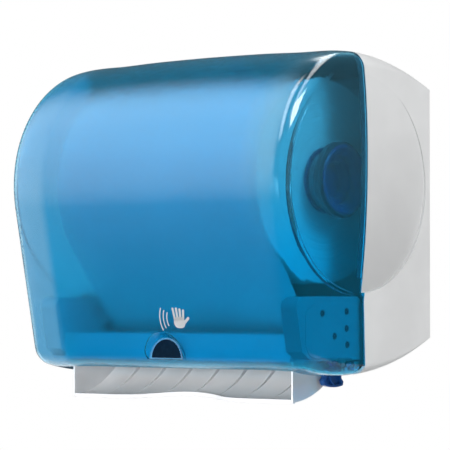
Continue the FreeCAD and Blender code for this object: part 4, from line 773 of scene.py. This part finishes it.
def legs_mesh(name, material, low, high, count, foot_x):
    """Two rows of flat legs at the sides of a chip that stands on a board facing minus X."""
    width = 0.4 * MM
    reach = 1.4 * MM
    thickness = 0.2 * MM
    pitch = (high.z - low.z) * 0.9 / count
    first = low.z + (high.z - low.z - pitch * (count - 1)) / 2
    pattern = Pattern(name, count=count, pitch=pitch, width=width, reach=reach, depth=thickness,
                      left=(foot_x, low.y - reach / 2, first), right=(foot_x, high.y + reach / 2, first))
    size = pattern.step("ShaderNodeCombineXYZ", {
        "X": pattern.size("depth"), "Y": pattern.size("reach"), "Z": pattern.size("width")})
    leg = pattern.step("GeometryNodeMeshCube", {"Size": size})
    offset = pattern.step("ShaderNodeCombineXYZ", {"Z": pattern.size("pitch")})
    rows = [pattern.copies(pattern.row(pattern.size("count"), pattern.size(side), offset), leg)
            for side in ("left", "right")]
    return pattern.mesh(pattern.joined(*rows), material)


# Mesh helpers
def plain_mesh(bm, name, material=None):
    """Keep what a bmesh holds as a plain mesh."""
    mesh = bpy.data.meshes.new(name)
    bm.to_mesh(mesh)
    bm.free()
    if material:
        mesh.materials.append(material)
    return mesh


def bridge(bm, first, second):
    """Faces between two closed rings of points."""
    for i in range(len(first)):
        j = (i + 1) % len(first)
        bm.faces.new((first[i], first[j], second[j], second[i]))


def island_centres(node):
    """The box centre of each separate solid in a CAD node."""
    bm = bmesh.new()
    bm.from_mesh(frame["nodes"][node].data)
    bmesh.ops.remove_doubles(bm, verts=bm.verts, dist=1e-6)
    left = set(bm.verts)
    centres = []
    while left:
        front = [next(iter(left))]
        found = set(front)
        while front:
            near = {edge.other_vert(vert) for vert in front for edge in vert.link_edges} - found
            found |= near
            front = list(near)
        left -= found
        low = Vector(min(v.co[i] for v in found) for i in range(3))
        high = Vector(max(v.co[i] for v in found) for i in range(3))
        centres.append((low + high) / 2)
    bm.free()
    return sorted(centres, key=lambda spot: (round(spot.y, 5), round(spot.z, 5)))


def piece(name, mesh, body, smooth=30):
    """Link a finished mesh as a piece that moves with a body."""
    obj = bpy.data.objects.new(name, mesh)
    bpy.context.scene.collection.objects.link(obj)
    if smooth:
        mesh.shade_smooth()
        mesh.set_sharp_from_angle(angle=math.radians(smooth))
    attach(obj, body)
    return obj


def dress(material, *nodes):
    """Give CAD nodes their material."""
    for node in nodes:
        mesh = frame["nodes"][node].data
        mesh.materials.clear()
        mesh.materials.append(material)


def roll_profile(settings, inner, step):
    """Half section of the roll as (X, radius) pairs: its turns stand in a little at both ends."""
    chance = random.Random(11)
    left = []
    right = []
    for i in range(settings.layers):
        for share in (0.12, 0.88):
            radius = inner + (i + share) * step
            left.append((ROLL_LOW.x + chance.uniform(0.15, 1.0) * settings.ragged, radius))
            right.append((ROLL_HIGH.x - chance.uniform(0.15, 1.0) * settings.ragged, radius))
    belt = [(ROLL_LOW.x + ROLL_WIDTH * i / 12, ROLL_RADIUS) for i in range(1, 12)]
    return [(left[0][0], inner)] + left + belt + list(reversed(right)) + [(right[0][0], inner)]


def wound_roll_mesh(settings, material):
    """The paper roll, with a step at the loose edge of its last turn."""
    core_low, core_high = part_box("roll_core")
    inner = (core_high.z - core_low.z) / 2
    step = (ROLL_RADIUS - inner) / settings.layers
    start = math.radians(LOOSE_EDGE_DEG)
    angles = [start + math.tau * i / ROLL_SIDES for i in range(ROLL_SIDES)]
    angles.append(start + math.tau - LOOSE_EDGE_GAP)
    bm = bmesh.new()
    rows = []
    for x, radius in roll_profile(settings, inner, step):
        row = []
        near_outside = max(0.0, (radius - ROLL_RADIUS + 3 * step) / (3 * step))
        for i, angle in enumerate(angles):
            reach = radius - settings.ply * near_outside * i / ROLL_SIDES
            row.append(bm.verts.new((x, ROLL_AXIS[0] + reach * math.cos(angle),
                                     ROLL_AXIS[1] + reach * math.sin(angle))))
        rows.append(row)
    rows.append(rows[0])
    for first, second in zip(rows, rows[1:]):
        bridge(bm, first, second)
    bmesh.ops.recalc_face_normals(bm, faces=bm.faces)
    return plain_mesh(bm, "WoundRoll", material)


def loose_end_path(wrap, steps):
    """Middle line of the loose end: wrap radians round the roll, then straight down to the rollers."""
    low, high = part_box("towel_web")
    foot = (high.y - WEB_HALF, low.z)
    reach = math.hypot(foot[0] - ROLL_AXIS[0], foot[1] - ROLL_AXIS[1])
    radius = ROLL_RADIUS + SHEET_LIFT
    toward = math.atan2(foot[1] - ROLL_AXIS[1], foot[0] - ROLL_AXIS[0])
    leave = toward - math.acos(radius / reach)
    turns = [leave - wrap * (1 - i / WRAP_STEPS) for i in range(WRAP_STEPS + 1)]
    path = [(ROLL_AXIS[0] + radius * math.cos(a), ROLL_AXIS[1] + radius * math.sin(a)) for a in turns]
    start = path[-1]
    for i in range(1, steps + 1):
        share = i / steps
        path.append((start[0] + (foot[0] - start[0]) * share, start[1] + (foot[1] - start[1]) * share))
    return path


def sheet_rim(rows):
    """The points round the edge of a grid, in order."""
    right = [row[-1] for row in rows[1:]]
    left = [row[0] for row in rows[-2:0:-1]]
    return rows[0] + right + rows[-1][-2::-1] + left


def towel_sheet_mesh(material):
    """The towel's loose end as thin creped paper, drawn tight, with soft waves between its two holds."""
    path = loose_end_path(wrap=0.30, steps=70)
    columns = 90
    chance = random.Random(23)
    tones = [(chance.uniform(0.5, 1.0), chance.randint(2, 9), chance.uniform(0.0, math.tau))
             for _ in range(5)]
    bm = bmesh.new()
    skins = []
    for side in (-1, 1):
        rows = []
        for j, (y, z) in enumerate(path):
            ahead = path[min(j + 1, len(path) - 1)]
            behind = path[max(j - 1, 0)]
            run = Vector((0, ahead[0] - behind[0], ahead[1] - behind[1])).normalized()
            out = Vector((0, run.z, -run.y))
            slack = math.sin(math.pi * max(0.0, j - WRAP_STEPS) / (len(path) - 1 - WRAP_STEPS))
            row = []
            for i in range(columns + 1):
                share = i / columns
                wave = sum(tall * math.sin(math.tau * turns * share + phase) for tall, turns, phase in tones)
                lift = side * SHEET_HALF + SHEET_WAVE * slack * wave
                x = ROLL_LOW.x + SHEET_MARGIN + (ROLL_WIDTH - 2 * SHEET_MARGIN) * share
                row.append(bm.verts.new(Vector((x, y, z)) + out * lift))
            rows.append(row)
        skins.append(rows)
        for first, second in zip(rows, rows[1:]):
            for i in range(columns):
                bm.faces.new((first[i], first[i + 1], second[i + 1], second[i]))
    under, over = skins
    bridge(bm, sheet_rim(under), sheet_rim(over))
    bmesh.ops.recalc_face_normals(bm, faces=bm.faces)
    length = sum(math.dist(a, b) for a, b in zip(path, path[1:]))
    return plain_mesh(bm, "TowelSheet", material), length


def bar_outline(a, b, radius, corners=14):
    """Points round a bar with round ends, from a to b."""
    angle = math.atan2(b[1] - a[1], b[0] - a[0])
    half = [math.pi * i / corners - math.pi / 2 for i in range(corners + 1)]
    head = [(b[0] + radius * math.cos(angle + t), b[1] + radius * math.sin(angle + t)) for t in half]
    tail = [(a[0] - radius * math.cos(angle + t), a[1] - radius * math.sin(angle + t)) for t in half]
    return head + tail


def wave_outline(centre, radius, width, from_deg, to_deg, corners=18):
    """Points round a curved stroke."""
    sweep = [math.radians(from_deg + (to_deg - from_deg) * i / corners) for i in range(corners + 1)]
    outer, inner = radius + width / 2, radius - width / 2
    over = [(centre[0] + outer * math.cos(t), centre[1] + outer * math.sin(t)) for t in sweep]
    under = [(centre[0] + inner * math.cos(t), centre[1] + inner * math.sin(t)) for t in reversed(sweep)]
    return over + under


def hand_sign_outlines():
    """A plain open hand over three waves, in units of its own height."""
    palm = bar_outline((0.42, 0.26), (0.58, 0.26), 0.24)
    fingers = [bar_outline((0.26 + 0.155 * i, 0.38), (0.20 + 0.195 * i, 0.80 + 0.05 * math.sin(1 + i)), 0.058)
               for i in range(4)]
    thumb = bar_outline((0.72, 0.20), (1.02, 0.44), 0.062)
    waves = [wave_outline((0.42, 0.40), 0.62 + 0.20 * i, 0.055, 152, 208) for i in range(3)]
    return [palm] + fingers + [thumb] + waves


def smooth_cover_mesh(material):
    """The cover as one joined skin without its thinnest slivers, so that it bends light smoothly."""
    bm = bmesh.new()
    bm.from_mesh(frame["nodes"]["front_cover"].data)
    bmesh.ops.remove_doubles(bm, verts=bm.verts, dist=2e-6)
    bmesh.ops.dissolve_degenerate(bm, edges=bm.edges, dist=6e-5)
    mesh = plain_mesh(bm, "SmoothCover", material)
    for layer in ("custom_normal", "sharp_face", "sharp_edge"):
        if layer in mesh.attributes:
            mesh.attributes.remove(mesh.attributes[layer])
    return mesh


def hand_sign_mesh(settings, material, place):
    """The sign as a thin print that lies on the front of the cover."""
    cover = frame["nodes"]["front_cover"]
    tree = BVHTree.FromObject(cover, bpy.context.evaluated_depsgraph_get())
    size = settings.sign_size
    thickness = Vector((0, PRINT_THICKNESS, 0))
    before = CAD_BOX[0][1] - 0.05
    bm = bmesh.new()
    for outline in hand_sign_outlines():
        inner = []
        for u, v in outline:
            spot = Vector((place[0] + (u - 0.5) * size, before, place[1] + v * size))
            hit = tree.ray_cast(spot, Vector((0, 1, 0)))[0]
            if hit is None:
                raise RuntimeError("the hand sign misses the cover")
            inner.append(bm.verts.new(hit - thickness / 4))
        outer = [bm.verts.new(vert.co - thickness) for vert in inner]
        bm.faces.new(inner)
        bm.faces.new(outer)
        bridge(bm, inner, outer)
    bmesh.ops.recalc_face_normals(bm, faces=bm.faces)
    return plain_mesh(bm, "HandSign", material)


def area_light(name, place, aim, size, power, shines=True):
    """A soft lamp. One that doesn't shine lights surfaces without a reflection of its own."""
    data = bpy.data.lights.new(name, "AREA")
    data.shape = "RECTANGLE"
    data.size = size[0]
    data.size_y = size[1]
    data.energy = power
    lamp = bpy.data.objects.new(name, data)
    lamp.visible_camera = False
    lamp.visible_glossy = shines
    bpy.context.scene.collection.objects.link(lamp)
    lamp.location = place
    lamp.rotation_mode = "QUATERNION"
    lamp.rotation_quaternion = (Vector(aim) - Vector(place)).to_track_quat("-Z", "Y")
    return lamp


# Operators
class DISPENSER_OT_stage(bpy.types.Operator):
    """Make the camera, the soft lights and the pale floor"""
    bl_idname = "dispenser.stage"
    bl_label = "Stage"

    def execute(self, context):
        settings = context.scene.dispenser_stage
        self.camera(context, settings)
        self.world(context, settings)
        self.floor(context, settings)
        lamps = {name: area_light(name, *values) for name, values in LAMPS.items()}
        shaded = bpy.data.collections.new("ShadedByCover")
        shaded.objects.link(frame["nodes"]["towel_chute"])
        lamps["ChuteFill"].light_linking.receiver_collection = shaded
        context.scene.view_settings.view_transform = "Standard"
        return {"FINISHED"}

    def camera(self, context, settings):
        data = bpy.data.cameras.new("Camera")
        camera = bpy.data.objects.new("Camera", data)
        context.scene.collection.objects.link(camera)
        context.scene.camera = camera
        data.sensor_width = 36.0
        data.lens = settings.lens
        data.clip_start = 0.05
        data.clip_end = 60.0
        camera.location = CAMERA_SPOT
        camera.rotation_mode = "QUATERNION"
        camera.rotation_quaternion = (Vector(CAMERA_AIM) - Vector(CAMERA_SPOT)).to_track_quat("-Z", "Y")

    def world(self, context, settings):
        """Even light on surfaces, white behind the object, and a dim room in reflections."""
        world = bpy.data.worlds.new("Studio")
        context.scene.world = world
        world.use_nodes = True
        tree = world.node_tree
        tree.nodes.clear()
        even = self.background(tree, 1.0, settings.ambient)
        white = self.background(tree, 1.0, 1.0)
        room = self.background(tree, 0.8, self.room_light(tree))
        ray = add(tree, "ShaderNodeLightPath")
        seen = compute(tree, "MAXIMUM", ray.outputs["Is Camera Ray"], ray.outputs["Is Transmission Ray"])
        lit = mix_shaders(tree, ray.outputs["Is Glossy Ray"], even, room)
        out = add(tree, "ShaderNodeOutputWorld")
        tree.links.new(mix_shaders(tree, seen, lit, white), out.inputs["Surface"])

    def background(self, tree, grey, strength):
        node = add(tree, "ShaderNodeBackground")
        node.inputs["Color"].default_value = rgba((grey, grey, grey))
        feed(tree, strength, node, "Strength")
        return node.outputs[0]

    def room_light(self, tree):
        """How bright the room looks in reflections: dim all round, with the glows and the strips added."""
        look = add(tree, "ShaderNodeTexCoord").outputs["Generated"]
        total = ROOM_DIM
        for shape, patches in ((self.glow, GLOWS), (self.strip, STRIPS)):
            for patch in patches:
                total = compute(tree, "ADD", total, shape(tree, look, *patch))
        return total

    def glow(self, tree, look, toward, low, high, strength):
        """A soft bright patch round one direction."""
        return ramp(tree, dot(tree, look, Vector(toward).normalized()), low, high, 0.0, strength, smooth=True)

    def strip(self, tree, look, start, end, width, strength):
        """A soft bright strip from one direction to another, that fades out past its ends."""
        start = Vector(start).normalized()
        end = Vector(end).normalized()
        half = start.angle(end) / 2
        aside = compute(tree, "ABSOLUTE", dot(tree, look, start.cross(end).normalized()))
        middle = dot(tree, look, (start + end).normalized())
        across = ramp(tree, aside, width, STRIP_CORE * width, 0.0, strength, smooth=True)
        along = ramp(tree, middle, math.cos(half + STRIP_FADE), math.cos(half), smooth=True)
        return compute(tree, "MULTIPLY", across, along)

    def floor(self, context, settings):
        low = CAD_BOX[0][2] - settings.floor_drop
        corners = [(-FLOOR_HALF, -FLOOR_HALF, low), (FLOOR_HALF, -FLOOR_HALF, low),
                   (FLOOR_HALF, FLOOR_HALF, low), (-FLOOR_HALF, FLOOR_HALF, low)]
        mesh = bpy.data.meshes.new("Floor")
        mesh.from_pydata(corners, [], [(0, 1, 2, 3)])
        floor = bpy.data.objects.new("Floor", mesh)
        context.scene.collection.objects.link(floor)
        finish = Finish("FloorPaper", 0.9)
        finish.colour(finish.mix(finish.noise(0.4, 2.0), (0.70, 0.70, 0.70), (0.74, 0.74, 0.74)))
        self.fade_to_white(finish)
        mesh.materials.append(finish.material)

    def fade_to_white(self, finish):
        """The floor turns into the white background away from the object, and shines from the left."""
        x, y, _ = finish.axes()
        square = finish.math("ADD", finish.math("MULTIPLY", x, x), finish.math("MULTIPLY", y, y))
        away = finish.spread(finish.math("SQRT", square), *FLOOR_FADE, smooth=True)
        behind = finish.spread(y, -0.5, 1.0, 0.04, 0.8)
        left = finish.math("MULTIPLY", finish.spread(x, 0.0, -0.3), finish.spread(y, -0.45, -0.05, 0.0, 1.2))
        ray = add(finish.tree, "ShaderNodeLightPath")
        seen = finish.math("MAXIMUM", ray.outputs["Is Camera Ray"], ray.outputs["Is Transmission Ray"])
        glow = finish.math("MAXIMUM", finish.math("MULTIPLY", away, seen), ray.outputs["Is Glossy Ray"])
        white = add(finish.tree, "ShaderNodeEmission")
        strength = finish.math("MAXIMUM", seen, finish.math("MAXIMUM", behind, left))
        feed(finish.tree, strength, white, "Strength")
        finish.surface(mix_shaders(finish.tree, glow, finish.shader.outputs["BSDF"], white.outputs[0]))


class DISPENSER_OT_cover(bpy.types.Operator):
    """Dress the see-through cover and its sensor window, and print the hand sign"""
    bl_idname = "dispenser.cover"
    bl_label = "Cover"

    def execute(self, context):
        settings = context.scene.dispenser_cover
        dress(window_plastic(settings), "sensor_window")
        _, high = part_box("sensor_window")
        place = (high.x + SIGN_ASIDE, high.z + SIGN_ABOVE)
        sign = piece("hand_sign", hand_sign_mesh(settings, sign_ink(settings), place), "cover", smooth=0)
        shell = piece("cover_shell", smooth_cover_mesh(cover_plastic(settings)), "cover", smooth=30)
        even = shell.modifiers.new("EvenNormals", "WEIGHTED_NORMAL")
        even.keep_sharp = True
        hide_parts("front_cover")
        return {"FINISHED"}


class DISPENSER_OT_housing(bpy.types.Operator):
    """Dress the wall side housing"""
    bl_idname = "dispenser.housing"
    bl_label = "Housing"

    def execute(self, context):
        dress(housing_plastic(context.scene.dispenser_housing), "rear_housing")
        return {"FINISHED"}


class DISPENSER_OT_roll(bpy.types.Operator):
    """Wind the towel roll and dress its core"""
    bl_idname = "dispenser.roll"
    bl_label = "Towel roll"

    def execute(self, context):
        settings = context.scene.dispenser_roll
        paper = roll_paper(settings)
        roll = piece("wound_roll", wound_roll_mesh(settings, paper), "roll", smooth=40)
        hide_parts("towel_roll")
        mesh, length = towel_sheet_mesh(paper)
        sheet = piece("towel_sheet", mesh, "dispenser", smooth=60)
        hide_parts("towel_web")
        dress(core_card(settings), "roll_core")
        return {"FINISHED"}


class DISPENSER_OT_holders(bpy.types.Operator):
    """Dress the arms and hubs that hold the roll"""
    bl_idname = "dispenser.holders"
    bl_label = "Roll holders"

    def execute(self, context):
        inside = context.scene.dispenser_inside
        dress(moulded("ArmPlastic", inside.arms, roughness=0.45, grain=0.0007), "left_arm", "right_arm")
        # The hubs' dark colour is partly painted shade
        dress(polished("HubPlasticDarkAsShade", inside.hub, 0.30), "left_hub", "right_hub")
        return {"FINISHED"}


class DISPENSER_OT_springs(bpy.types.Operator):
    """Wind the springs of the hub, the pinch roller and the cells"""
    bl_idname = "dispenser.springs"
    bl_label = "Springs"

    def execute(self, context):
        wire = turned_metal("SpringWire", (0.50, 0.51, 0.53), roughness=0.30, across=EVEN)
        coils = {}
        for name, node, thickness, taper in (("hub_coil", "hub_spring", 0.8 * MM, 1.0),
                                             ("carrier_coil", "carrier_springs", 0.5 * MM, 1.0),
                                             ("contact_coil", "contact_spring", 0.5 * MM, 0.8)):
            coils[name] = piece(name, spring_mesh(name, wire, node, thickness, taper), "dispenser")
            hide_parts(node)
        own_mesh(coils["hub_coil"])
        return {"FINISHED"}


class DISPENSER_OT_screws(bpy.types.Operator):
    """Set the cross recess screws of the arms, the frame and the gear box"""
    bl_idname = "dispenser.screws"
    bl_label = "Screws"

    def execute(self, context):
        bright = turned_metal("ScrewSteel", across=EVEN)
        black = moulded("ScrewBlack", (0.012, 0.018, 0.026), roughness=0.35, grain=0.0004)
        self.arm_screws(bright)
        self.frame_screws(bright)
        self.gearbox_screws(black)
        return {"FINISHED"}

    def place(self, name, node, mesh):
        screws = piece(name, mesh, "dispenser", smooth=35)
        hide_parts(node)

    def arm_screws(self, material):
        low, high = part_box("arm_screws")
        screw = screw_mesh(PAN_HEIGHT, 2.0 * MM, high.y - low.y - PAN_HEIGHT, (0, -1, 0))
        places = [(side * (high.x - SCREW_HEAD), low.y + PAN_HEIGHT, z)
                  for side in (-1, 1) for z in (low.z + SCREW_HEAD, high.z - SCREW_HEAD)]
        self.place("arm_cross_screws", "arm_screws",
                   screws_mesh("ArmScrews", material, screw, places, (0, 1, 0), seed=3))

    def frame_screws(self, material):
        low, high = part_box("frame_screws")
        screw = screw_mesh(PAN_HEIGHT, 1.6 * MM, high.z - low.z - PAN_HEIGHT, (0, 0, 1))
        places = [(side * (high.x - SCREW_HEAD), (low.y + high.y) / 2, high.z - PAN_HEIGHT)
                  for side in (-1, 1)]
        self.place("frame_cross_screws", "frame_screws",
                   screws_mesh("FrameScrews", material, screw, places, (0, 0, 1), seed=5))

    def gearbox_screws(self, material):
        """The five places come from the separate solids of the node."""
        low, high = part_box("gearbox_screws")
        screw = screw_mesh(high.x - low.x - SEAT_DEPTH, 1.4 * MM, SEAT_DEPTH, (1, 0, 0))
        places = [(low.x + SEAT_DEPTH, spot.y, spot.z) for spot in island_centres("gearbox_screws")]
        self.place("gearbox_cross_screws", "gearbox_screws",
                   screws_mesh("GearboxScrews", material, screw, places, (1, 0, 0), seed=7))


class DISPENSER_OT_feed(bpy.types.Operator):
    """Dress the feed rollers, the gears and their frame"""
    bl_idname = "dispenser.feed"
    bl_label = "Feed train"

    def execute(self, context):
        inside = context.scene.dispenser_inside
        dress(moulded("FramePlastic", inside.frame, roughness=0.45), "feed_frame")
        dress(moulded("GearboxPlastic", inside.gearbox, roughness=0.45), "gearbox_housing", "gearbox_cover")
        # The carrier's near black is painted shade for the shadowed slot above the bar
        dress(moulded("CarrierPlasticDarkAsShade", inside.carrier, roughness=0.5), "pinch_carrier")
        rubber = sleeve_rubber()
        for name, node, body in (("drive_flutes", "drive_sleeves", "drive_roller"),
                                 ("pinch_flutes", "pinch_sleeves", "pinch_roller")):
            sleeves = piece(name, fluted_sleeves_mesh(name, rubber, node, inside.flutes), body, smooth=20)
            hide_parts(node)
        dress(turned_metal("ShaftSteel"), "drive_shaft", "pinch_shaft", "carrier_pins", "hinge_pins",
              "idler_axle", "lever_pin", "lock_bolt", "motor")
        dress(turned_metal("BladeSteel", across=(0.5, 1.0, 8.0)), "tear_bar")
        dress(moulded("GearPlastic", (0.74, 0.73, 0.70), roughness=0.38, grain=0.0006), "roller_gear",
              "idler_gear")
        dress(turned_metal("Brass", (0.66, 0.47, 0.18), roughness=0.3), "motor_pinion", "key_barrel")
        dress(turned_metal("BushBronze", (0.50, 0.33, 0.15), roughness=0.42), "shaft_bushes")
        dress(polished("LeverPlastic", inside.lever, 0.32), "release_lever")
        dress(moulded("LockPlastic", (0.05, 0.05, 0.055), roughness=0.4), "lock_body")
        return {"FINISHED"}


class DISPENSER_OT_outlet(bpy.types.Operator):
    """Dress the towel chute under the cover"""
    bl_idname = "dispenser.outlet"
    bl_label = "Outlet"

    def execute(self, context):
        chute = context.scene.dispenser_inside.chute
        dress(moulded("ChutePlastic", chute, grain=0.0009), "towel_chute")
        return {"FINISHED"}


class DISPENSER_OT_control(bpy.types.Operator):
    """Dress the control box, its boards and the battery bay"""
    bl_idname = "dispenser.control"
    bl_label = "Control and battery"

    def execute(self, context):
        inside = context.scene.dispenser_inside
        dress(moulded("BoxPlastic", inside.frame, roughness=0.45), "control_box", "control_box_lid")
        dress(moulded("BayPlastic", (0.10, 0.105, 0.115), roughness=0.45), "battery_case", "battery_door")
        dress(board_laminate(), "control_board", "sensor_board")
        dress(moulded("ChipPlastic", (0.02, 0.02, 0.022), roughness=0.5, grain=0.0004), "board_chips",
              "sensor_emitters", "mode_selector")
        dress(lamp_lens(), "status_led")
        dress(cell_wrap(), "battery_cells")
        tin = turned_metal("ContactTin", (0.60, 0.60, 0.60), roughness=0.35, across=EVEN)
        dress(tin, "contact_plates")
        self.chip_legs(tin, inside.legs)
        return {"FINISHED"}

    def chip_legs(self, material, count):
        """Legs along the flat chip nearest to the front of the board."""
        board_low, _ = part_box("control_board")
        chips_low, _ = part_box("board_chips")
        low = Vector((board_low.x - CHIP_HEIGHT, CHIP_FRONT, CHIP_FOOT))
        high = Vector((board_low.x, CHIP_FRONT + CHIP_SIDE, CHIP_FOOT + CHIP_SIDE))
        if chips_low.x > low.x:
            raise RuntimeError("the chips don't stand on the board")
        legs = piece("chip_legs", legs_mesh("ChipLegs", material, low, high, count, board_low.x - LEG_LIFT),
                     "dispenser", smooth=0)


class DISPENSER_PT_panel(bpy.types.Panel):
    """Lists the steps that dress the dispenser"""
    bl_idname = "DISPENSER_PT_panel"
    bl_label = "Towel dispenser"
    bl_space_type = "VIEW_3D"
    bl_region_type = "UI"
    bl_category = "Dispenser"

    def draw(self, context):
        layout = self.layout
        for group in SETTINGS:
            box = layout.box()
            settings = getattr(context.scene, group)
            for name in SETTINGS[group].__annotations__:
                box.prop(settings, name)
        for operator in OPERATORS:
            layout.operator(operator.bl_idname)


SETTINGS = {
    "dispenser_cover": CoverSettings,
    "dispenser_housing": HousingSettings,
    "dispenser_roll": RollSettings,
    "dispenser_inside": InsideSettings,
    "dispenser_stage": StageSettings,
}
OPERATORS = (
    DISPENSER_OT_stage,
    DISPENSER_OT_cover,
    DISPENSER_OT_housing,
    DISPENSER_OT_roll,
    DISPENSER_OT_holders,
    DISPENSER_OT_springs,
    DISPENSER_OT_screws,
    DISPENSER_OT_feed,
    DISPENSER_OT_outlet,
    DISPENSER_OT_control,
)


def register():
    for name, group in SETTINGS.items():
        bpy.utils.register_class(group)
        setattr(bpy.types.Scene, name, PointerProperty(type=group))
    for operator in OPERATORS:
        bpy.utils.register_class(operator)
    bpy.utils.register_class(DISPENSER_PT_panel)


def unregister():
    bpy.utils.unregister_class(DISPENSER_PT_panel)
    for operator in reversed(OPERATORS):
        bpy.utils.unregister_class(operator)
    for name, group in SETTINGS.items():
        delattr(bpy.types.Scene, name)
        bpy.utils.unregister_class(group)


def main():
    register()
    for operator in OPERATORS:
        getattr(bpy.ops.dispenser, operator.bl_idname.split(".")[1])()


if __name__ == "__main__":
    main()
